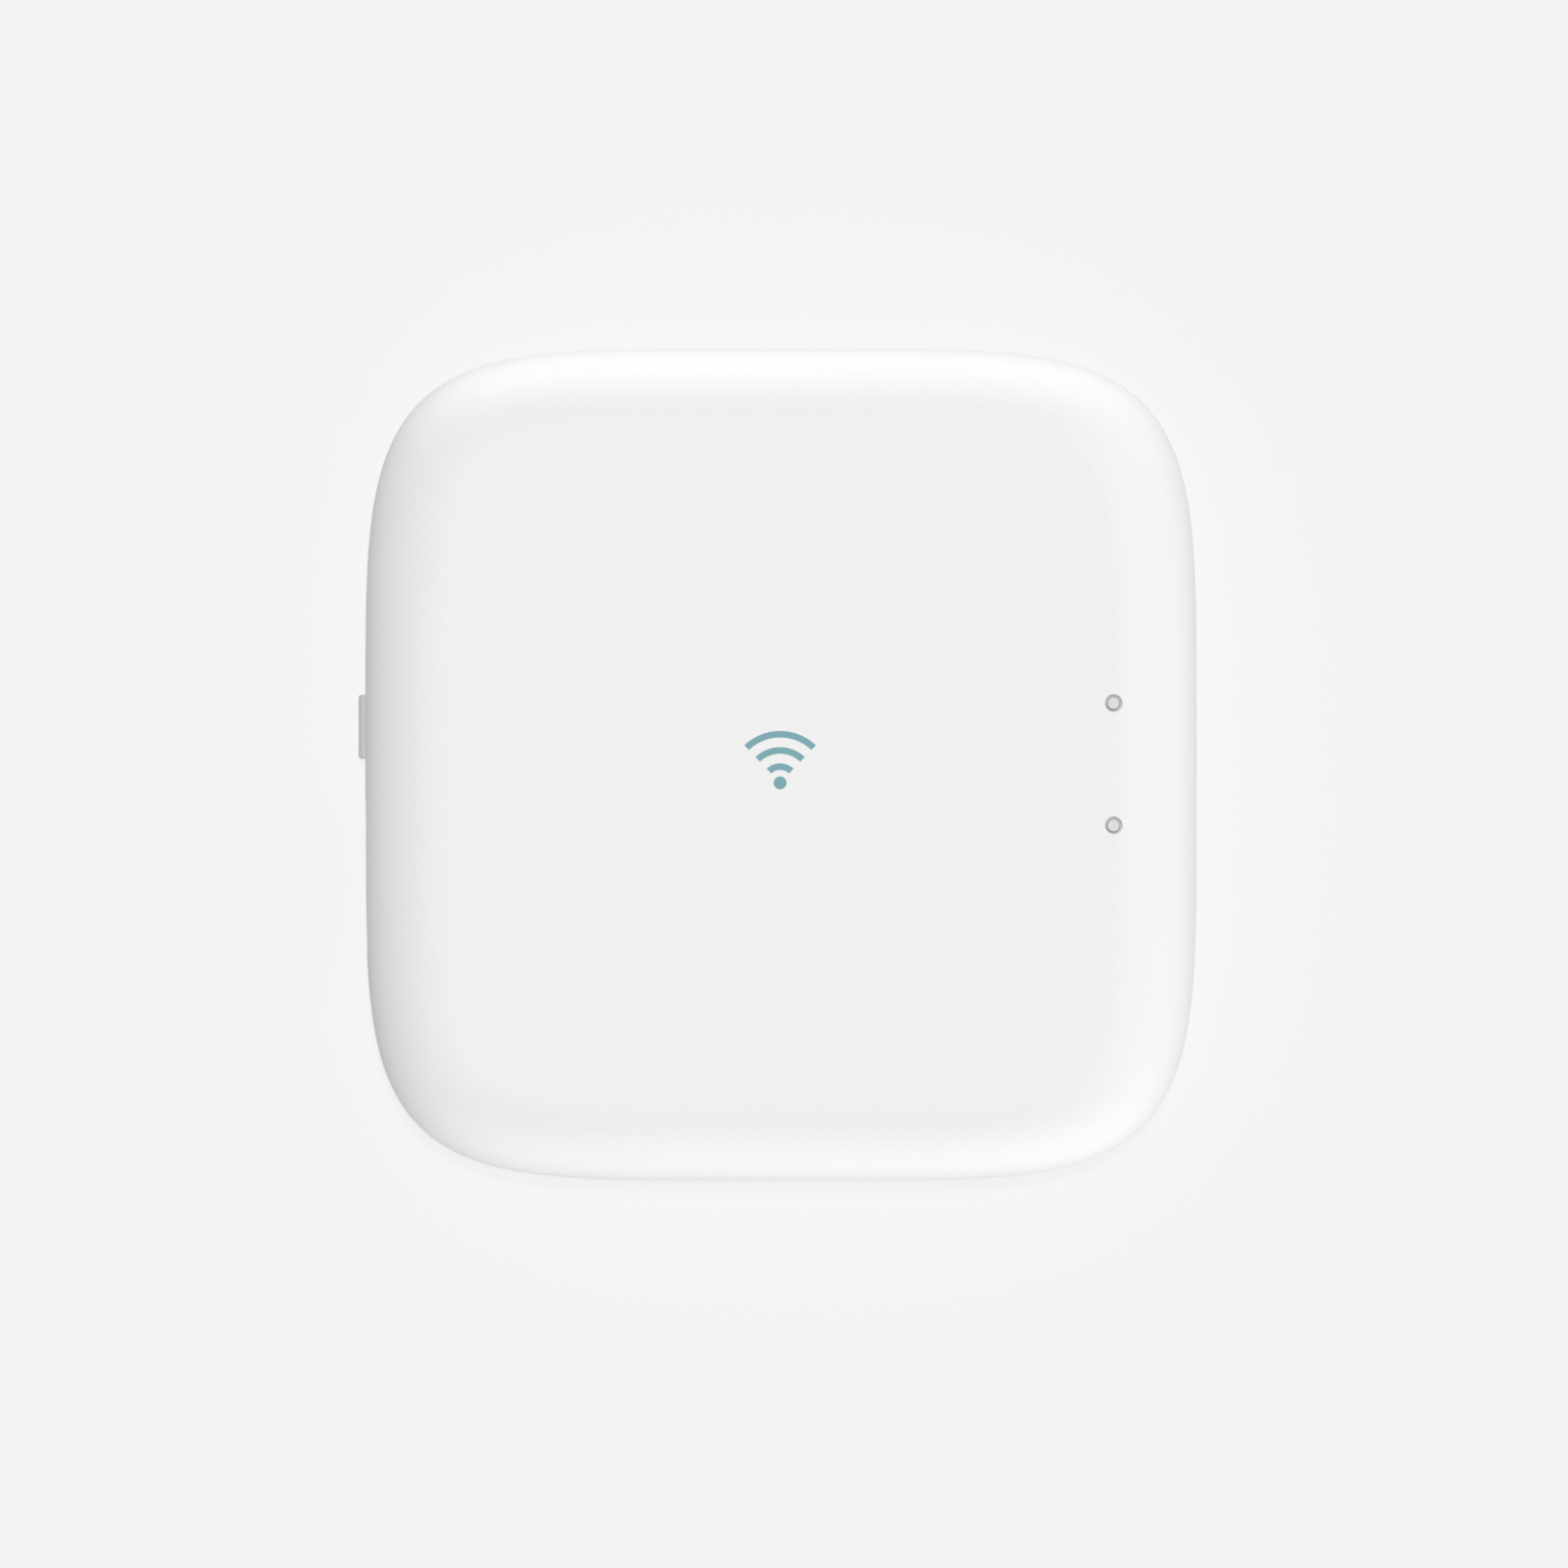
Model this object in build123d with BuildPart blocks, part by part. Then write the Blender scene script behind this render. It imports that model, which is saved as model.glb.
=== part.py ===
from build123d import *
import math
import os

# A table-top smart home hub: two plastic shells with a rounded-square outline, four feet, a key and
# two sockets on the left side, two indicator light pipes near the right edge of the top face, and the
# circuit board with its parts inside.
#
# Frame: millimetres. Z is up, Z = 0 is the table under the feet, and the Z axis runs through the
# middle of the outline. -X is the socket side, +X the indicator side.

# ---- Housing -------------------------------------------------------------------------------------
width = 90.0                # across the flats of the outline, along X and along Y
squareness = 5.0            # exponent of the superellipse outline
outline_points = 48         # spline points round the outline
foot_lift = 1.0             # gap that the feet leave under the case
case_height = 22.0          # underside of the case to the top face
wall = 2.0                  # side walls of both shells
case_floor = 2.0            # bottom wall
ceiling = 2.0               # top wall
top_round = 9.0             # outer radius between top face and sides
bottom_round = 5.5          # outer radius between underside and sides
reveal_height = 0.35        # shadow line at the seam
reveal_depth = 0.4
lip_height = 1.3            # tongue of the case that stands inside the cover
lip_thickness = 0.8
lip_gap = 0.1               # play round the tongue

# ---- Screw posts, feet and openings of the case --------------------------------------------------
post_inset = 15.0           # screw posts and feet, inwards from the flats
post_radius = 3.5
boss_radius = 3.2
boss_drop = 1.0             # how far the cover's bosses reach below the seam
boss_pilot_spare = 0.8      # pilot hole beyond the screw's tip
rib_thickness = 1.2
rib_gap = 1.5               # ribs start this far above the tongue's room
foot_radius = 6.0
foot_recess = 0.6
foot_play = 0.2
foot_edge = 0.5
label_length = 46.0
label_width = 24.0
label_thickness = 0.15
label_recess = 0.3
label_corner = 1.0
vent_width = 1.5
vent_length = 8.0
vent_pitch = 4.0
vent_count = 10
vent_gap = 2.0              # between the label recess and the vents
keyhole_spacing = 30.0
keyhole_entry_radius = 3.6
keyhole_slot_radius = 1.9
keyhole_travel = 5.5
keyhole_inset = 15.5        # middle of the entry hole, inwards from the flat

# ---- Screws --------------------------------------------------------------------------------------
case_screw_length = 10.0
case_screw_radius = 1.3
case_screw_core = 0.95
case_screw_head_radius = 2.3
case_screw_head_height = 1.8
case_screw_seat = 1.6       # seat of the head above the inside of the floor
board_screw_length = 5.0
board_screw_radius = 1.0
board_screw_core = 0.75
board_screw_head_radius = 1.9
board_screw_head_height = 1.3
thread_pitch = 1.0
pilot_bite = 0.2            # how far a thread cuts into its pilot hole
hole_play = 0.2             # radial play of clearance holes

# ---- Circuit board -------------------------------------------------------------------------------
standoff_height = 2.5
standoff_radius = 2.5
board_thickness = 1.6
board_wall_gap = 1.4        # board edge to the inside of the socket wall
board_post_gap = 1.0        # board edge to the screw posts
board_corner = 1.5
board_hole_inset = 2.6      # mounting holes, inwards from the long edges
board_hole_port_side = 10.6  # mounting holes, inwards from the socket edge
board_hole_light_side = 3.4  # mounting holes, inwards from the indicator edge
pin_below = 1.1             # soldered pins under the board
board_past_light = 2.5      # board edge beyond the indicators

# ---- Indicators ----------------------------------------------------------------------------------
indicator_inset = 9.1       # inwards from the flat
indicator_spacing = 13.2
indicator_hole_radius = 0.95
pipe_tip_radius = 0.72
pipe_tip_recess = 0.12
pipe_stem_radius = 1.25
pipe_stem_play = 0.05
pipe_flange_radius = 1.9
pipe_flange_height = 0.8
pipe_led_gap = 0.3
sleeve_radius = 2.2
sleeve_length = 8.0
led_length = 1.6
led_width = 0.8
led_height = 0.7

# ---- Function key and its switch -----------------------------------------------------------------
key_y = 4.1
key_length = 6.9
key_height = 3.2
key_proud = 0.8
key_corner = 0.9
key_edge = 0.3
key_play = 0.15
key_flange_margin = 0.8
key_flange_thickness = 0.7
key_wall_gap = 0.1
key_post_length = 3.0
key_post_height = 2.0
switch_gap = 0.1            # free play between key and plunger
switch_stem_height = 1.9    # middle of the plunger above the board; the seam lies there too
switch_length = 6.0
switch_depth = 3.5
switch_height = 3.6
switch_inset = 1.4          # front of the switch behind the board edge
switch_plate = 0.2
switch_tab_front = 0.8      # the plate's side tabs, behind the switch's face
switch_tab_width = 1.4
plunger_length = 2.6
plunger_height = 1.5
plunger_out = 1.0
plunger_in = 1.6
plunger_play = 0.1
switch_pocket_depth = 2.4
dome_radius = 1.1
dome_rise = 0.25
dome_thickness = 0.12

# ---- Network socket ------------------------------------------------------------------------------
jack_sink = 3.6             # how far the socket hangs below the board's top
jack_into_wall = 0.5
jack_sheet = 0.3
jack_play = 0.25            # round the socket in the shells
jack_notch_play = 0.4       # round the socket in the board
jack_standoff_gap = 0.45    # between the socket and the standoff beside it
jack_side_wall = 1.7        # insert beside the plug
jack_back_wall = 5.9        # insert behind the plug
jack_roof = 0.3             # insert above the latch
plug_width = 11.9
plug_height = 6.9
plug_depth = 14.5
plug_sill = 1.8             # plug opening above the bottom of the insert
latch_width = 6.4
latch_height = 1.2
latch_key_width = 3.4
latch_key_height = 0.6
contact_count = 8
contact_pitch = 1.02
contact_width = 0.45
contact_thickness = 0.35
contact_slot = 0.65
tab_width = 3.0
tab_reach = 1.5
tab_front = 3.5             # front tabs behind the board edge
tab_rear = 4.5              # rear tabs before the socket's back
jack_pin_gap = 1.3          # contact pins behind the socket's back
contact_run = 0.75          # contacts above the bottom of the insert
contact_exit = 1.85         # contacts above the board where they leave the insert
contact_shaft = 1.75        # contacts' way up before the socket's back
contact_rise = 1.0          # front bend of the contacts behind the insert's face
contact_tip_back = 9.7      # free ends of the contacts behind the insert's face
contact_tip_up = 1.7        # free ends above the floor of the plug opening

# ---- Power socket --------------------------------------------------------------------------------
power_y = 19.5
power_width = 8.94
power_height = 3.16
power_depth = 7.35
power_sheet = 0.3
power_into_wall = 0.6
power_play = 0.3
tongue_width = 6.69
tongue_thickness = 0.7
tongue_inset = 0.6
power_base_depth = 2.3
power_leg_inset = 1.2       # legs inwards from the board edge and from the shell's back
power_leg_width = 1.2
power_contact_count = 12
power_contact_pitch = 0.5
power_contact_width = 0.25
power_contact_thickness = 0.05

# ---- Places worked out from the sizes ------------------------------------------------------------
half = width / 2
inner_half = half - wall
z_case = foot_lift
z_floor = z_case + case_floor
z_board = z_floor + standoff_height
z_board_top = z_board + board_thickness
z_seam = z_board_top + switch_stem_height
z_top = z_case + case_height
z_ceiling = z_top - ceiling
z_lip = z_seam + lip_height
z_post_top = z_seam - boss_drop
post_xy = half - post_inset
x_indicator = half - indicator_inset
board_half_y = post_xy - post_radius - board_post_gap
x_board_port = -inner_half + board_wall_gap
x_board_light = x_indicator + board_past_light
jack_width = plug_width + 2 * jack_side_wall + 2 * jack_sheet
jack_height = plug_sill + plug_height + latch_height + latch_key_height + jack_roof + 2 * jack_sheet
jack_depth = plug_depth + jack_back_wall + 2 * jack_sheet
y_standoff_edge = board_half_y - board_hole_inset - standoff_radius
jack_y = jack_width / 2 + jack_standoff_gap - y_standoff_edge
x_jack = -inner_half - jack_into_wall
x_jack_back = x_jack + jack_depth
z_jack = z_board_top - jack_sink
z_jack_top = z_jack + jack_height
x_jack_pin = x_jack_back + jack_pin_gap
x_power = -inner_half - power_into_wall
z_power = z_board_top + power_height / 2
z_key = z_board_top + switch_stem_height
x_switch = x_board_port + switch_inset
x_plunger = x_switch - plunger_out
x_key_post = x_plunger - switch_gap
x_key_flange = -inner_half + key_wall_gap
posts = [(x, y) for x in (-post_xy, post_xy) for y in (-post_xy, post_xy)]
board_holes = [
    (x, y)
    for x in (x_board_port + board_hole_port_side, x_board_light - board_hole_light_side)
    for y in (-board_half_y + board_hole_inset, board_half_y - board_hole_inset)
]
indicators = [(x_indicator, -indicator_spacing / 2), (x_indicator, indicator_spacing / 2)]
contact_ys = [jack_y + (k - (contact_count - 1) / 2) * contact_pitch for k in range(contact_count)]
tab_xs = [x_board_port + tab_front, x_jack_back - tab_rear]
keyholes = [(x, half - keyhole_inset) for x in (-keyhole_spacing / 2, keyhole_spacing / 2)]

os.makedirs("parts", exist_ok=True)


def save(piece, name):
    """Names a finished piece and writes it."""
    piece.part.label = name
    export_step(piece.part, f"parts/{name}.step")


def block(x_low, x_high, y_low, y_high, z_low, z_high, mode=Mode.ADD):
    """A box between two corners, in the piece that is being built."""
    with Locations(((x_low + x_high) / 2, (y_low + y_high) / 2, (z_low + z_high) / 2)):
        Box(x_high - x_low, y_high - y_low, z_high - z_low, mode=mode)


def superellipse(half_size):
    """Points of |x|^n + |y|^n = half_size^n at equal steps of the compass."""
    points = []
    for step in range(outline_points):
        angle = 2 * math.pi * step / outline_points
        c, s = math.cos(angle), math.sin(angle)
        reach = half_size / (abs(c) ** squareness + abs(s) ** squareness) ** (1 / squareness)
        points.append((reach * c, reach * s))
    return points


def pebble(half_size, z_low, z_high, low_round=0.0, high_round=0.0):
    """A block with the hub's outline and rounded rims."""
    with BuildPart() as body:
        with BuildSketch(Plane.XY.offset(z_low)):
            with BuildLine():
                Spline(*superellipse(half_size), periodic=True)
            make_face()
        extrude(amount=z_high - z_low)
        if high_round > 0:
            fillet(body.edges().sort_by(Axis.Z)[-1], high_round)
        if low_round > 0:
            fillet(body.edges().sort_by(Axis.Z)[0], low_round)
    return body.part


def side_opening(length, height, corner, y, z):
    """A rounded-rectangle bar along X that cuts an opening through the socket wall."""
    with BuildPart() as bar:
        with BuildSketch(Plane.YZ.offset(-half - 1)):
            with Locations((y, z)):
                RectangleRounded(length, height, corner)
        extrude(amount=1 + wall + bottom_round - case_floor)
    return bar.part


# ---- Shapes that both shells share ---------------------------------------------------------------
outer_low = pebble(half, z_case, z_seam, low_round=bottom_round)
outer_high = pebble(half, z_seam, z_top, high_round=top_round)
inner_low = pebble(inner_half, z_floor, z_lip + 1, low_round=bottom_round - case_floor)
inner_high = pebble(inner_half, z_seam - 1, z_ceiling, high_round=top_round - ceiling)
mid_wall = pebble(half - wall / 2, z_case, z_top - ceiling / 2, high_round=top_round - ceiling / 2)
lip_outer = pebble(inner_half + lip_thickness, z_seam, z_lip)
lip_room = pebble(inner_half + lip_thickness + lip_gap, z_seam - 1, z_lip + lip_gap)
reveal_core = pebble(half - reveal_depth, z_seam - reveal_height, z_seam)
reveal_slab = pebble(half + 1, z_seam - reveal_height, z_seam)
openings = [
    side_opening(
        jack_width + 2 * jack_play,
        jack_height + 2 * jack_play,
        jack_play,
        jack_y,
        z_jack + jack_height / 2,
    ),
    side_opening(
        power_width + 2 * power_play,
        power_height + 2 * power_play,
        power_height / 2,
        power_y,
        z_power,
    ),
    side_opening(
        key_length + 2 * key_play,
        key_height + 2 * key_play,
        key_corner + key_play,
        key_y,
        z_key,
    ),
]

# ---- Bottom case ---------------------------------------------------------------------------------
z_case_seat = z_floor + case_screw_seat
vent_y = label_width / 2 + vent_gap + vent_length / 2
with BuildPart() as bottom_case:
    add(outer_low)
    add(lip_outer)
    add(inner_low, mode=Mode.SUBTRACT)
    with BuildPart(mode=Mode.PRIVATE) as reveal:
        add(reveal_slab)
        add(reveal_core, mode=Mode.SUBTRACT)
    add(reveal.part, mode=Mode.SUBTRACT)
    with BuildSketch(Plane.XY.offset(z_case + case_floor / 2)):
        with Locations(*posts):
            Circle(post_radius)
    extrude(amount=z_post_top - z_case - case_floor / 2)
    with BuildSketch(Plane.XY.offset(z_case + case_floor / 2)):
        with Locations(*board_holes):
            Circle(standoff_radius)
    extrude(amount=z_board - z_case - case_floor / 2)
    with BuildSketch(Plane.XY.offset(z_board - board_screw_length + board_thickness - hole_play)):
        with Locations(*board_holes):
            Circle(board_screw_radius - pilot_bite)
    extrude(amount=board_screw_length, mode=Mode.SUBTRACT)
    with BuildSketch(Plane.XY.offset(z_case)):
        with Locations(*posts):
            Circle(foot_radius + foot_play)
    extrude(amount=foot_recess, mode=Mode.SUBTRACT)
    with BuildSketch(Plane.XY.offset(z_case)):
        with Locations(*posts):
            Circle(case_screw_head_radius + hole_play)
    extrude(amount=z_case_seat - z_case, mode=Mode.SUBTRACT)
    with BuildSketch(Plane.XY.offset(z_case)):
        with Locations(*posts):
            Circle(case_screw_radius + hole_play)
    extrude(amount=z_seam - z_case, mode=Mode.SUBTRACT)
    with BuildSketch(Plane.XY.offset(z_case)):
        RectangleRounded(
            label_length + 2 * hole_play,
            label_width + 2 * hole_play,
            label_corner + hole_play,
        )
    extrude(amount=label_recess, mode=Mode.SUBTRACT)
    with BuildSketch(Plane.XY.offset(z_case)):
        with Locations((0, -vent_y), (0, vent_y)):
            with GridLocations(vent_pitch, 0, vent_count, 1):
                SlotOverall(vent_length, vent_width, rotation=90)
    extrude(amount=case_floor, mode=Mode.SUBTRACT)
    with BuildSketch(Plane.XY.offset(z_case)):
        with Locations(*keyholes):
            Circle(keyhole_entry_radius)
        with Locations(*[(x, y + keyhole_travel / 2) for x, y in keyholes]):
            SlotCenterToCenter(keyhole_travel, 2 * keyhole_slot_radius, rotation=90)
    extrude(amount=case_floor, mode=Mode.SUBTRACT)
    for opening in openings:
        add(opening, mode=Mode.SUBTRACT)
save(bottom_case, "bottom_case")

# ---- Top cover -----------------------------------------------------------------------------------
z_sleeve = z_ceiling - sleeve_length
pilot_top = z_case_seat + case_screw_length + boss_pilot_spare
with BuildPart() as cover_ribs:
    with BuildSketch(Plane.XY.offset(z_post_top)):
        with Locations(*posts):
            Circle(boss_radius)
    extrude(amount=z_ceiling + ceiling / 2 - z_post_top)
    for x, y in posts:
        reach = inner_half + wall / 2
        side_x, side_y = math.copysign(1, x), math.copysign(1, y)
        z_rib = z_lip + 2 * lip_gap + rib_gap
        with Locations((side_x * (abs(x) + reach) / 2, y, (z_rib + z_top) / 2)):
            Box(reach - abs(x), rib_thickness, z_top - z_rib)
        with Locations((x, side_y * (abs(y) + reach) / 2, (z_rib + z_top) / 2)):
            Box(rib_thickness, reach - abs(y), z_top - z_rib)
    with BuildSketch(Plane.XY.offset(z_sleeve)):
        with Locations(*indicators):
            Circle(sleeve_radius)
    extrude(amount=sleeve_length + ceiling / 2)
    add(mid_wall, mode=Mode.INTERSECT)

with BuildPart() as top_cover:
    add(outer_high)
    add(inner_high, mode=Mode.SUBTRACT)
    add(lip_room, mode=Mode.SUBTRACT)
    add(cover_ribs.part)
    with BuildSketch(Plane.XY.offset(z_post_top)):
        with Locations(*posts):
            Circle(case_screw_radius - pilot_bite)
    extrude(amount=pilot_top - z_post_top, mode=Mode.SUBTRACT)
    with BuildSketch(Plane.XY.offset(z_sleeve)):
        with Locations(*indicators):
            Circle(pipe_stem_radius + pipe_stem_play)
    extrude(amount=sleeve_length + ceiling / 4, mode=Mode.SUBTRACT)
    with BuildSketch(Plane.XY.offset(z_ceiling)):
        with Locations(*indicators):
            Circle(indicator_hole_radius)
    extrude(amount=ceiling, mode=Mode.SUBTRACT)
    for opening in openings:
        add(opening, mode=Mode.SUBTRACT)
save(top_cover, "top_cover")

# ---- Rubber feet ---------------------------------------------------------------------------------
foot_names = ("front_left", "rear_left", "front_right", "rear_right")
for foot_name, (foot_x, foot_y) in zip(foot_names, posts):
    with BuildPart() as foot:
        with BuildSketch():
            with Locations((foot_x, foot_y)):
                Circle(foot_radius)
        extrude(amount=foot_lift + foot_recess)
        fillet(foot.edges().sort_by(Axis.Z)[0], foot_edge)
    save(foot, f"foot_{foot_name}")

# ---- Blank label ---------------------------------------------------------------------------------
with BuildPart() as blank_label:
    with BuildSketch(Plane.XY.offset(z_case + label_recess - label_thickness)):
        RectangleRounded(label_length, label_width, label_corner)
    extrude(amount=label_thickness)
save(blank_label, "blank_label")


# ---- Screws --------------------------------------------------------------------------------------
def screw(length, radius, core, head_radius, head_height, recess_depth):
    """A pan-head thread-forming screw that points up, its head's seat at the origin."""
    with BuildPart() as body:
        with BuildSketch(Plane.XZ):
            with BuildLine():
                ridge_start = thread_pitch
                outline = [(0, -head_height), (head_radius * 0.8, -head_height)]
                outline += [(head_radius, -head_height * 0.6), (head_radius, 0), (core, 0)]
                while ridge_start + thread_pitch < length - thread_pitch / 2:
                    outline += [
                        (core, ridge_start),
                        (radius, ridge_start + thread_pitch * 0.35),
                        (radius, ridge_start + thread_pitch * 0.45),
                        (core, ridge_start + thread_pitch * 0.8),
                    ]
                    ridge_start += thread_pitch
                outline += [(core, length - thread_pitch), (core * 0.5, length), (0, length)]
                Polyline(*outline, close=True)
            make_face()
        revolve(axis=Axis.Z)
        with BuildSketch(Plane.XY.offset(-head_height)):
            Rectangle(head_radius * 1.1, head_radius * 0.3)
            Rectangle(head_radius * 0.3, head_radius * 1.1)
        extrude(amount=recess_depth, mode=Mode.SUBTRACT)
    return body.part


case_screw = screw(
    case_screw_length,
    case_screw_radius,
    case_screw_core,
    case_screw_head_radius,
    case_screw_head_height,
    case_screw_head_height * 0.6,
)
board_screw = screw(
    board_screw_length,
    board_screw_radius,
    board_screw_core,
    board_screw_head_radius,
    board_screw_head_height,
    board_screw_head_height * 0.6,
)
with BuildPart() as case_screws:
    with Locations(*[(x, y, z_case_seat) for x, y in posts]):
        add(case_screw)
save(case_screws, "case_screws")

with BuildPart() as board_screws:
    with Locations(*[Location((x, y, z_board_top), (180, 0, 0)) for x, y in board_holes]):
        add(board_screw)
save(board_screws, "board_screws")

# ---- Circuit board -------------------------------------------------------------------------------
notch_half = jack_width / 2 + jack_notch_play
tab_y = jack_width / 2 + tab_reach - jack_sheet / 2
power_leg_y = power_width / 2
power_leg_xs = [x_board_port + power_leg_inset, x_power + power_depth - power_leg_inset]
with BuildPart() as main_board:
    with BuildSketch(Plane.XY.offset(z_board)) as board_outline:
        with Locations(((x_board_port + x_board_light) / 2, 0)):
            RectangleRounded(x_board_light - x_board_port, 2 * board_half_y, board_corner)
        with Locations(((x_board_port - 1 + x_jack_back + jack_notch_play) / 2, jack_y)):
            Rectangle(
                x_jack_back + jack_notch_play - x_board_port + 1,
                2 * notch_half,
                mode=Mode.SUBTRACT,
            )
        with Locations(*board_holes):
            Circle(board_screw_radius + hole_play, mode=Mode.SUBTRACT)
        with Locations(*[(x_jack_pin, y) for y in contact_ys]):
            Circle(contact_width / 2 + hole_play, mode=Mode.SUBTRACT)
        with Locations(*[(x, jack_y + side * tab_y) for x in tab_xs for side in (-1, 1)]):
            Rectangle(tab_width + 2 * hole_play, jack_sheet + 2 * hole_play, mode=Mode.SUBTRACT)
        with Locations(*[(x, power_y + side * power_leg_y) for x in power_leg_xs for side in (-1, 1)]):
            Rectangle(
                power_leg_width + 2 * hole_play,
                power_sheet + 2 * hole_play,
                mode=Mode.SUBTRACT,
            )
    extrude(amount=board_thickness)
save(main_board, "main_board")

# ---- Network socket: plastic insert, contacts, metal shield --------------------------------------
insert_x0, insert_x1 = x_jack + jack_sheet, x_jack_back - jack_sheet
insert_y0, insert_y1 = jack_y - jack_width / 2 + jack_sheet, jack_y + jack_width / 2 - jack_sheet
insert_z0, insert_z1 = z_jack + jack_sheet, z_jack_top - jack_sheet
z_plug = insert_z0 + plug_sill
z_plug_top = z_plug + plug_height
x_plug_end = insert_x0 + plug_depth
z_run = insert_z0 + contact_run
z_exit = z_board_top + contact_exit
x_shaft = x_jack_back - contact_shaft
x_rise = insert_x0 + contact_rise
x_contact_tip = insert_x0 + contact_tip_back
z_contact_tip = z_plug + contact_tip_up


def plug_opening(x_from, x_to, mode):
    """The opening for a network plug with its latch on top."""
    block(x_from, x_to, jack_y - plug_width / 2, jack_y + plug_width / 2, z_plug, z_plug_top, mode)
    z_latch = z_plug_top + latch_height
    block(x_from, x_to, jack_y - latch_width / 2, jack_y + latch_width / 2, z_plug_top, z_latch, mode)
    z_key_top = z_latch + latch_key_height
    half_key = latch_key_width / 2
    block(x_from, x_to, jack_y - half_key, jack_y + half_key, z_latch, z_key_top, mode)


with BuildPart() as ethernet_insert:
    block(insert_x0, insert_x1, insert_y0, insert_y1, insert_z0, insert_z1)
    plug_opening(insert_x0, x_plug_end, Mode.SUBTRACT)
    for y in contact_ys:
        y0, y1 = y - contact_slot / 2, y + contact_slot / 2
        z0, z1 = z_run - contact_slot / 2, z_run + contact_slot / 2
        block(x_rise - contact_slot / 2, x_contact_tip, y0, y1, z0, z_plug, Mode.SUBTRACT)
        block(x_contact_tip, x_shaft + contact_slot / 2, y0, y1, z0, z1, Mode.SUBTRACT)
        z2, z3 = z_exit - contact_slot / 2, z_exit + contact_slot / 2
        block(x_shaft - contact_slot / 2, x_shaft + contact_slot / 2, y0, y1, z0, z3, Mode.SUBTRACT)
        block(x_shaft, insert_x1, y0, y1, z2, z3, Mode.SUBTRACT)
save(ethernet_insert, "ethernet_insert")

with BuildPart() as ethernet_contacts:
    with BuildSketch(Plane.XZ.offset(-contact_ys[0] - contact_width / 2)):
        with BuildLine():
            FilletPolyline(
                (x_jack_pin, z_board - pin_below),
                (x_jack_pin, z_exit),
                (x_shaft, z_exit),
                (x_shaft, z_run),
                (x_rise, z_run),
                (x_rise, z_plug - 0.1),
                (x_contact_tip, z_contact_tip),
                radius=contact_thickness,
            )
        trace(line_width=contact_thickness)
    extrude(amount=contact_width)
    first_contact = ethernet_contacts.part
    with Locations(*[(0, y - contact_ys[0], 0) for y in contact_ys[1:]]):
        add(first_contact)
save(ethernet_contacts, "ethernet_contacts")

with BuildPart() as ethernet_shield:
    y0, y1 = jack_y - jack_width / 2, jack_y + jack_width / 2
    block(x_jack, x_jack_back, y0, y1, z_jack, z_jack_top)
    block(insert_x0, insert_x1, insert_y0, insert_y1, insert_z0, insert_z1, Mode.SUBTRACT)
    plug_opening(x_jack, insert_x0, Mode.SUBTRACT)
    block(x_rise + 2, insert_x1, insert_y0, insert_y1, z_jack, insert_z0, Mode.SUBTRACT)
    block(insert_x1, x_jack_back, insert_y0, insert_y1, z_jack, z_exit + 1, Mode.SUBTRACT)
    for x in tab_xs:
        for side in (-1, 1):
            inner = jack_y + side * jack_width / 2
            outer = inner + side * tab_reach
            low, high = min(inner, outer), max(inner, outer)
            block(x - tab_width / 2, x + tab_width / 2, low, high, z_board_top, z_board_top + jack_sheet)
            foot_low = min(outer, outer - side * jack_sheet)
            x0, x1 = x - tab_width / 2, x + tab_width / 2
            block(x0, x1, foot_low, foot_low + jack_sheet, z_board - pin_below, z_board_top)
save(ethernet_shield, "ethernet_shield")

# ---- Power socket: metal shell, insert with tongue, contacts -------------------------------------
x_power_back = x_power + power_depth
x_power_base = x_power_back - power_base_depth
with BuildPart() as power_shell:
    with BuildSketch(Plane.YZ.offset(x_power)):
        with Locations((power_y, z_power)):
            SlotOverall(power_width, power_height)
            SlotOverall(
                power_width - 2 * power_sheet,
                power_height - 2 * power_sheet,
                mode=Mode.SUBTRACT,
            )
    extrude(amount=power_depth)
    for x in power_leg_xs:
        for side in (-1, 1):
            y = power_y + side * power_leg_y
            y0, y1 = y - power_sheet / 2, y + power_sheet / 2
            x0, x1 = x - power_leg_width / 2, x + power_leg_width / 2
            block(x0, x1, y0, y1, z_board - pin_below, z_power)
    with BuildSketch(Plane.YZ.offset(x_power)):
        with Locations((power_y, z_power)):
            SlotOverall(power_width - 2 * power_sheet, power_height - 2 * power_sheet)
    extrude(amount=power_depth, mode=Mode.SUBTRACT)
save(power_shell, "power_shell")

with BuildPart() as power_insert:
    with BuildSketch(Plane.YZ.offset(x_power_base)):
        with Locations((power_y, z_power)):
            SlotOverall(power_width - 2 * power_sheet, power_height - 2 * power_sheet)
    extrude(amount=power_base_depth)
    tongue_y0, tongue_y1 = power_y - tongue_width / 2, power_y + tongue_width / 2
    z0, z1 = z_power - tongue_thickness / 2, z_power + tongue_thickness / 2
    block(x_power + tongue_inset, x_power_base, tongue_y0, tongue_y1, z0, z1)
save(power_insert, "power_insert")

power_contact_ys = [
    power_y + (k - (power_contact_count - 1) / 2) * power_contact_pitch
    for k in range(power_contact_count)
]
with BuildPart() as power_contacts:
    for y in power_contact_ys:
        y0, y1 = y - power_contact_width / 2, y + power_contact_width / 2
        x0 = x_power + tongue_inset + 0.4
        z0, z1 = z_power - tongue_thickness / 2, z_power + tongue_thickness / 2
        block(x0, x_power_base, y0, y1, z1, z1 + power_contact_thickness)
        block(x0, x_power_base, y0, y1, z0 - power_contact_thickness, z0)
        block(x_power_back, x_power_back + 1.0, y0, y1, z_board_top, z_board_top + 0.15)
        block(x_power_back, x_power_back + 0.15, y0, y1, z_board_top + 0.15, z_power)
save(power_contacts, "power_contacts")

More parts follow.
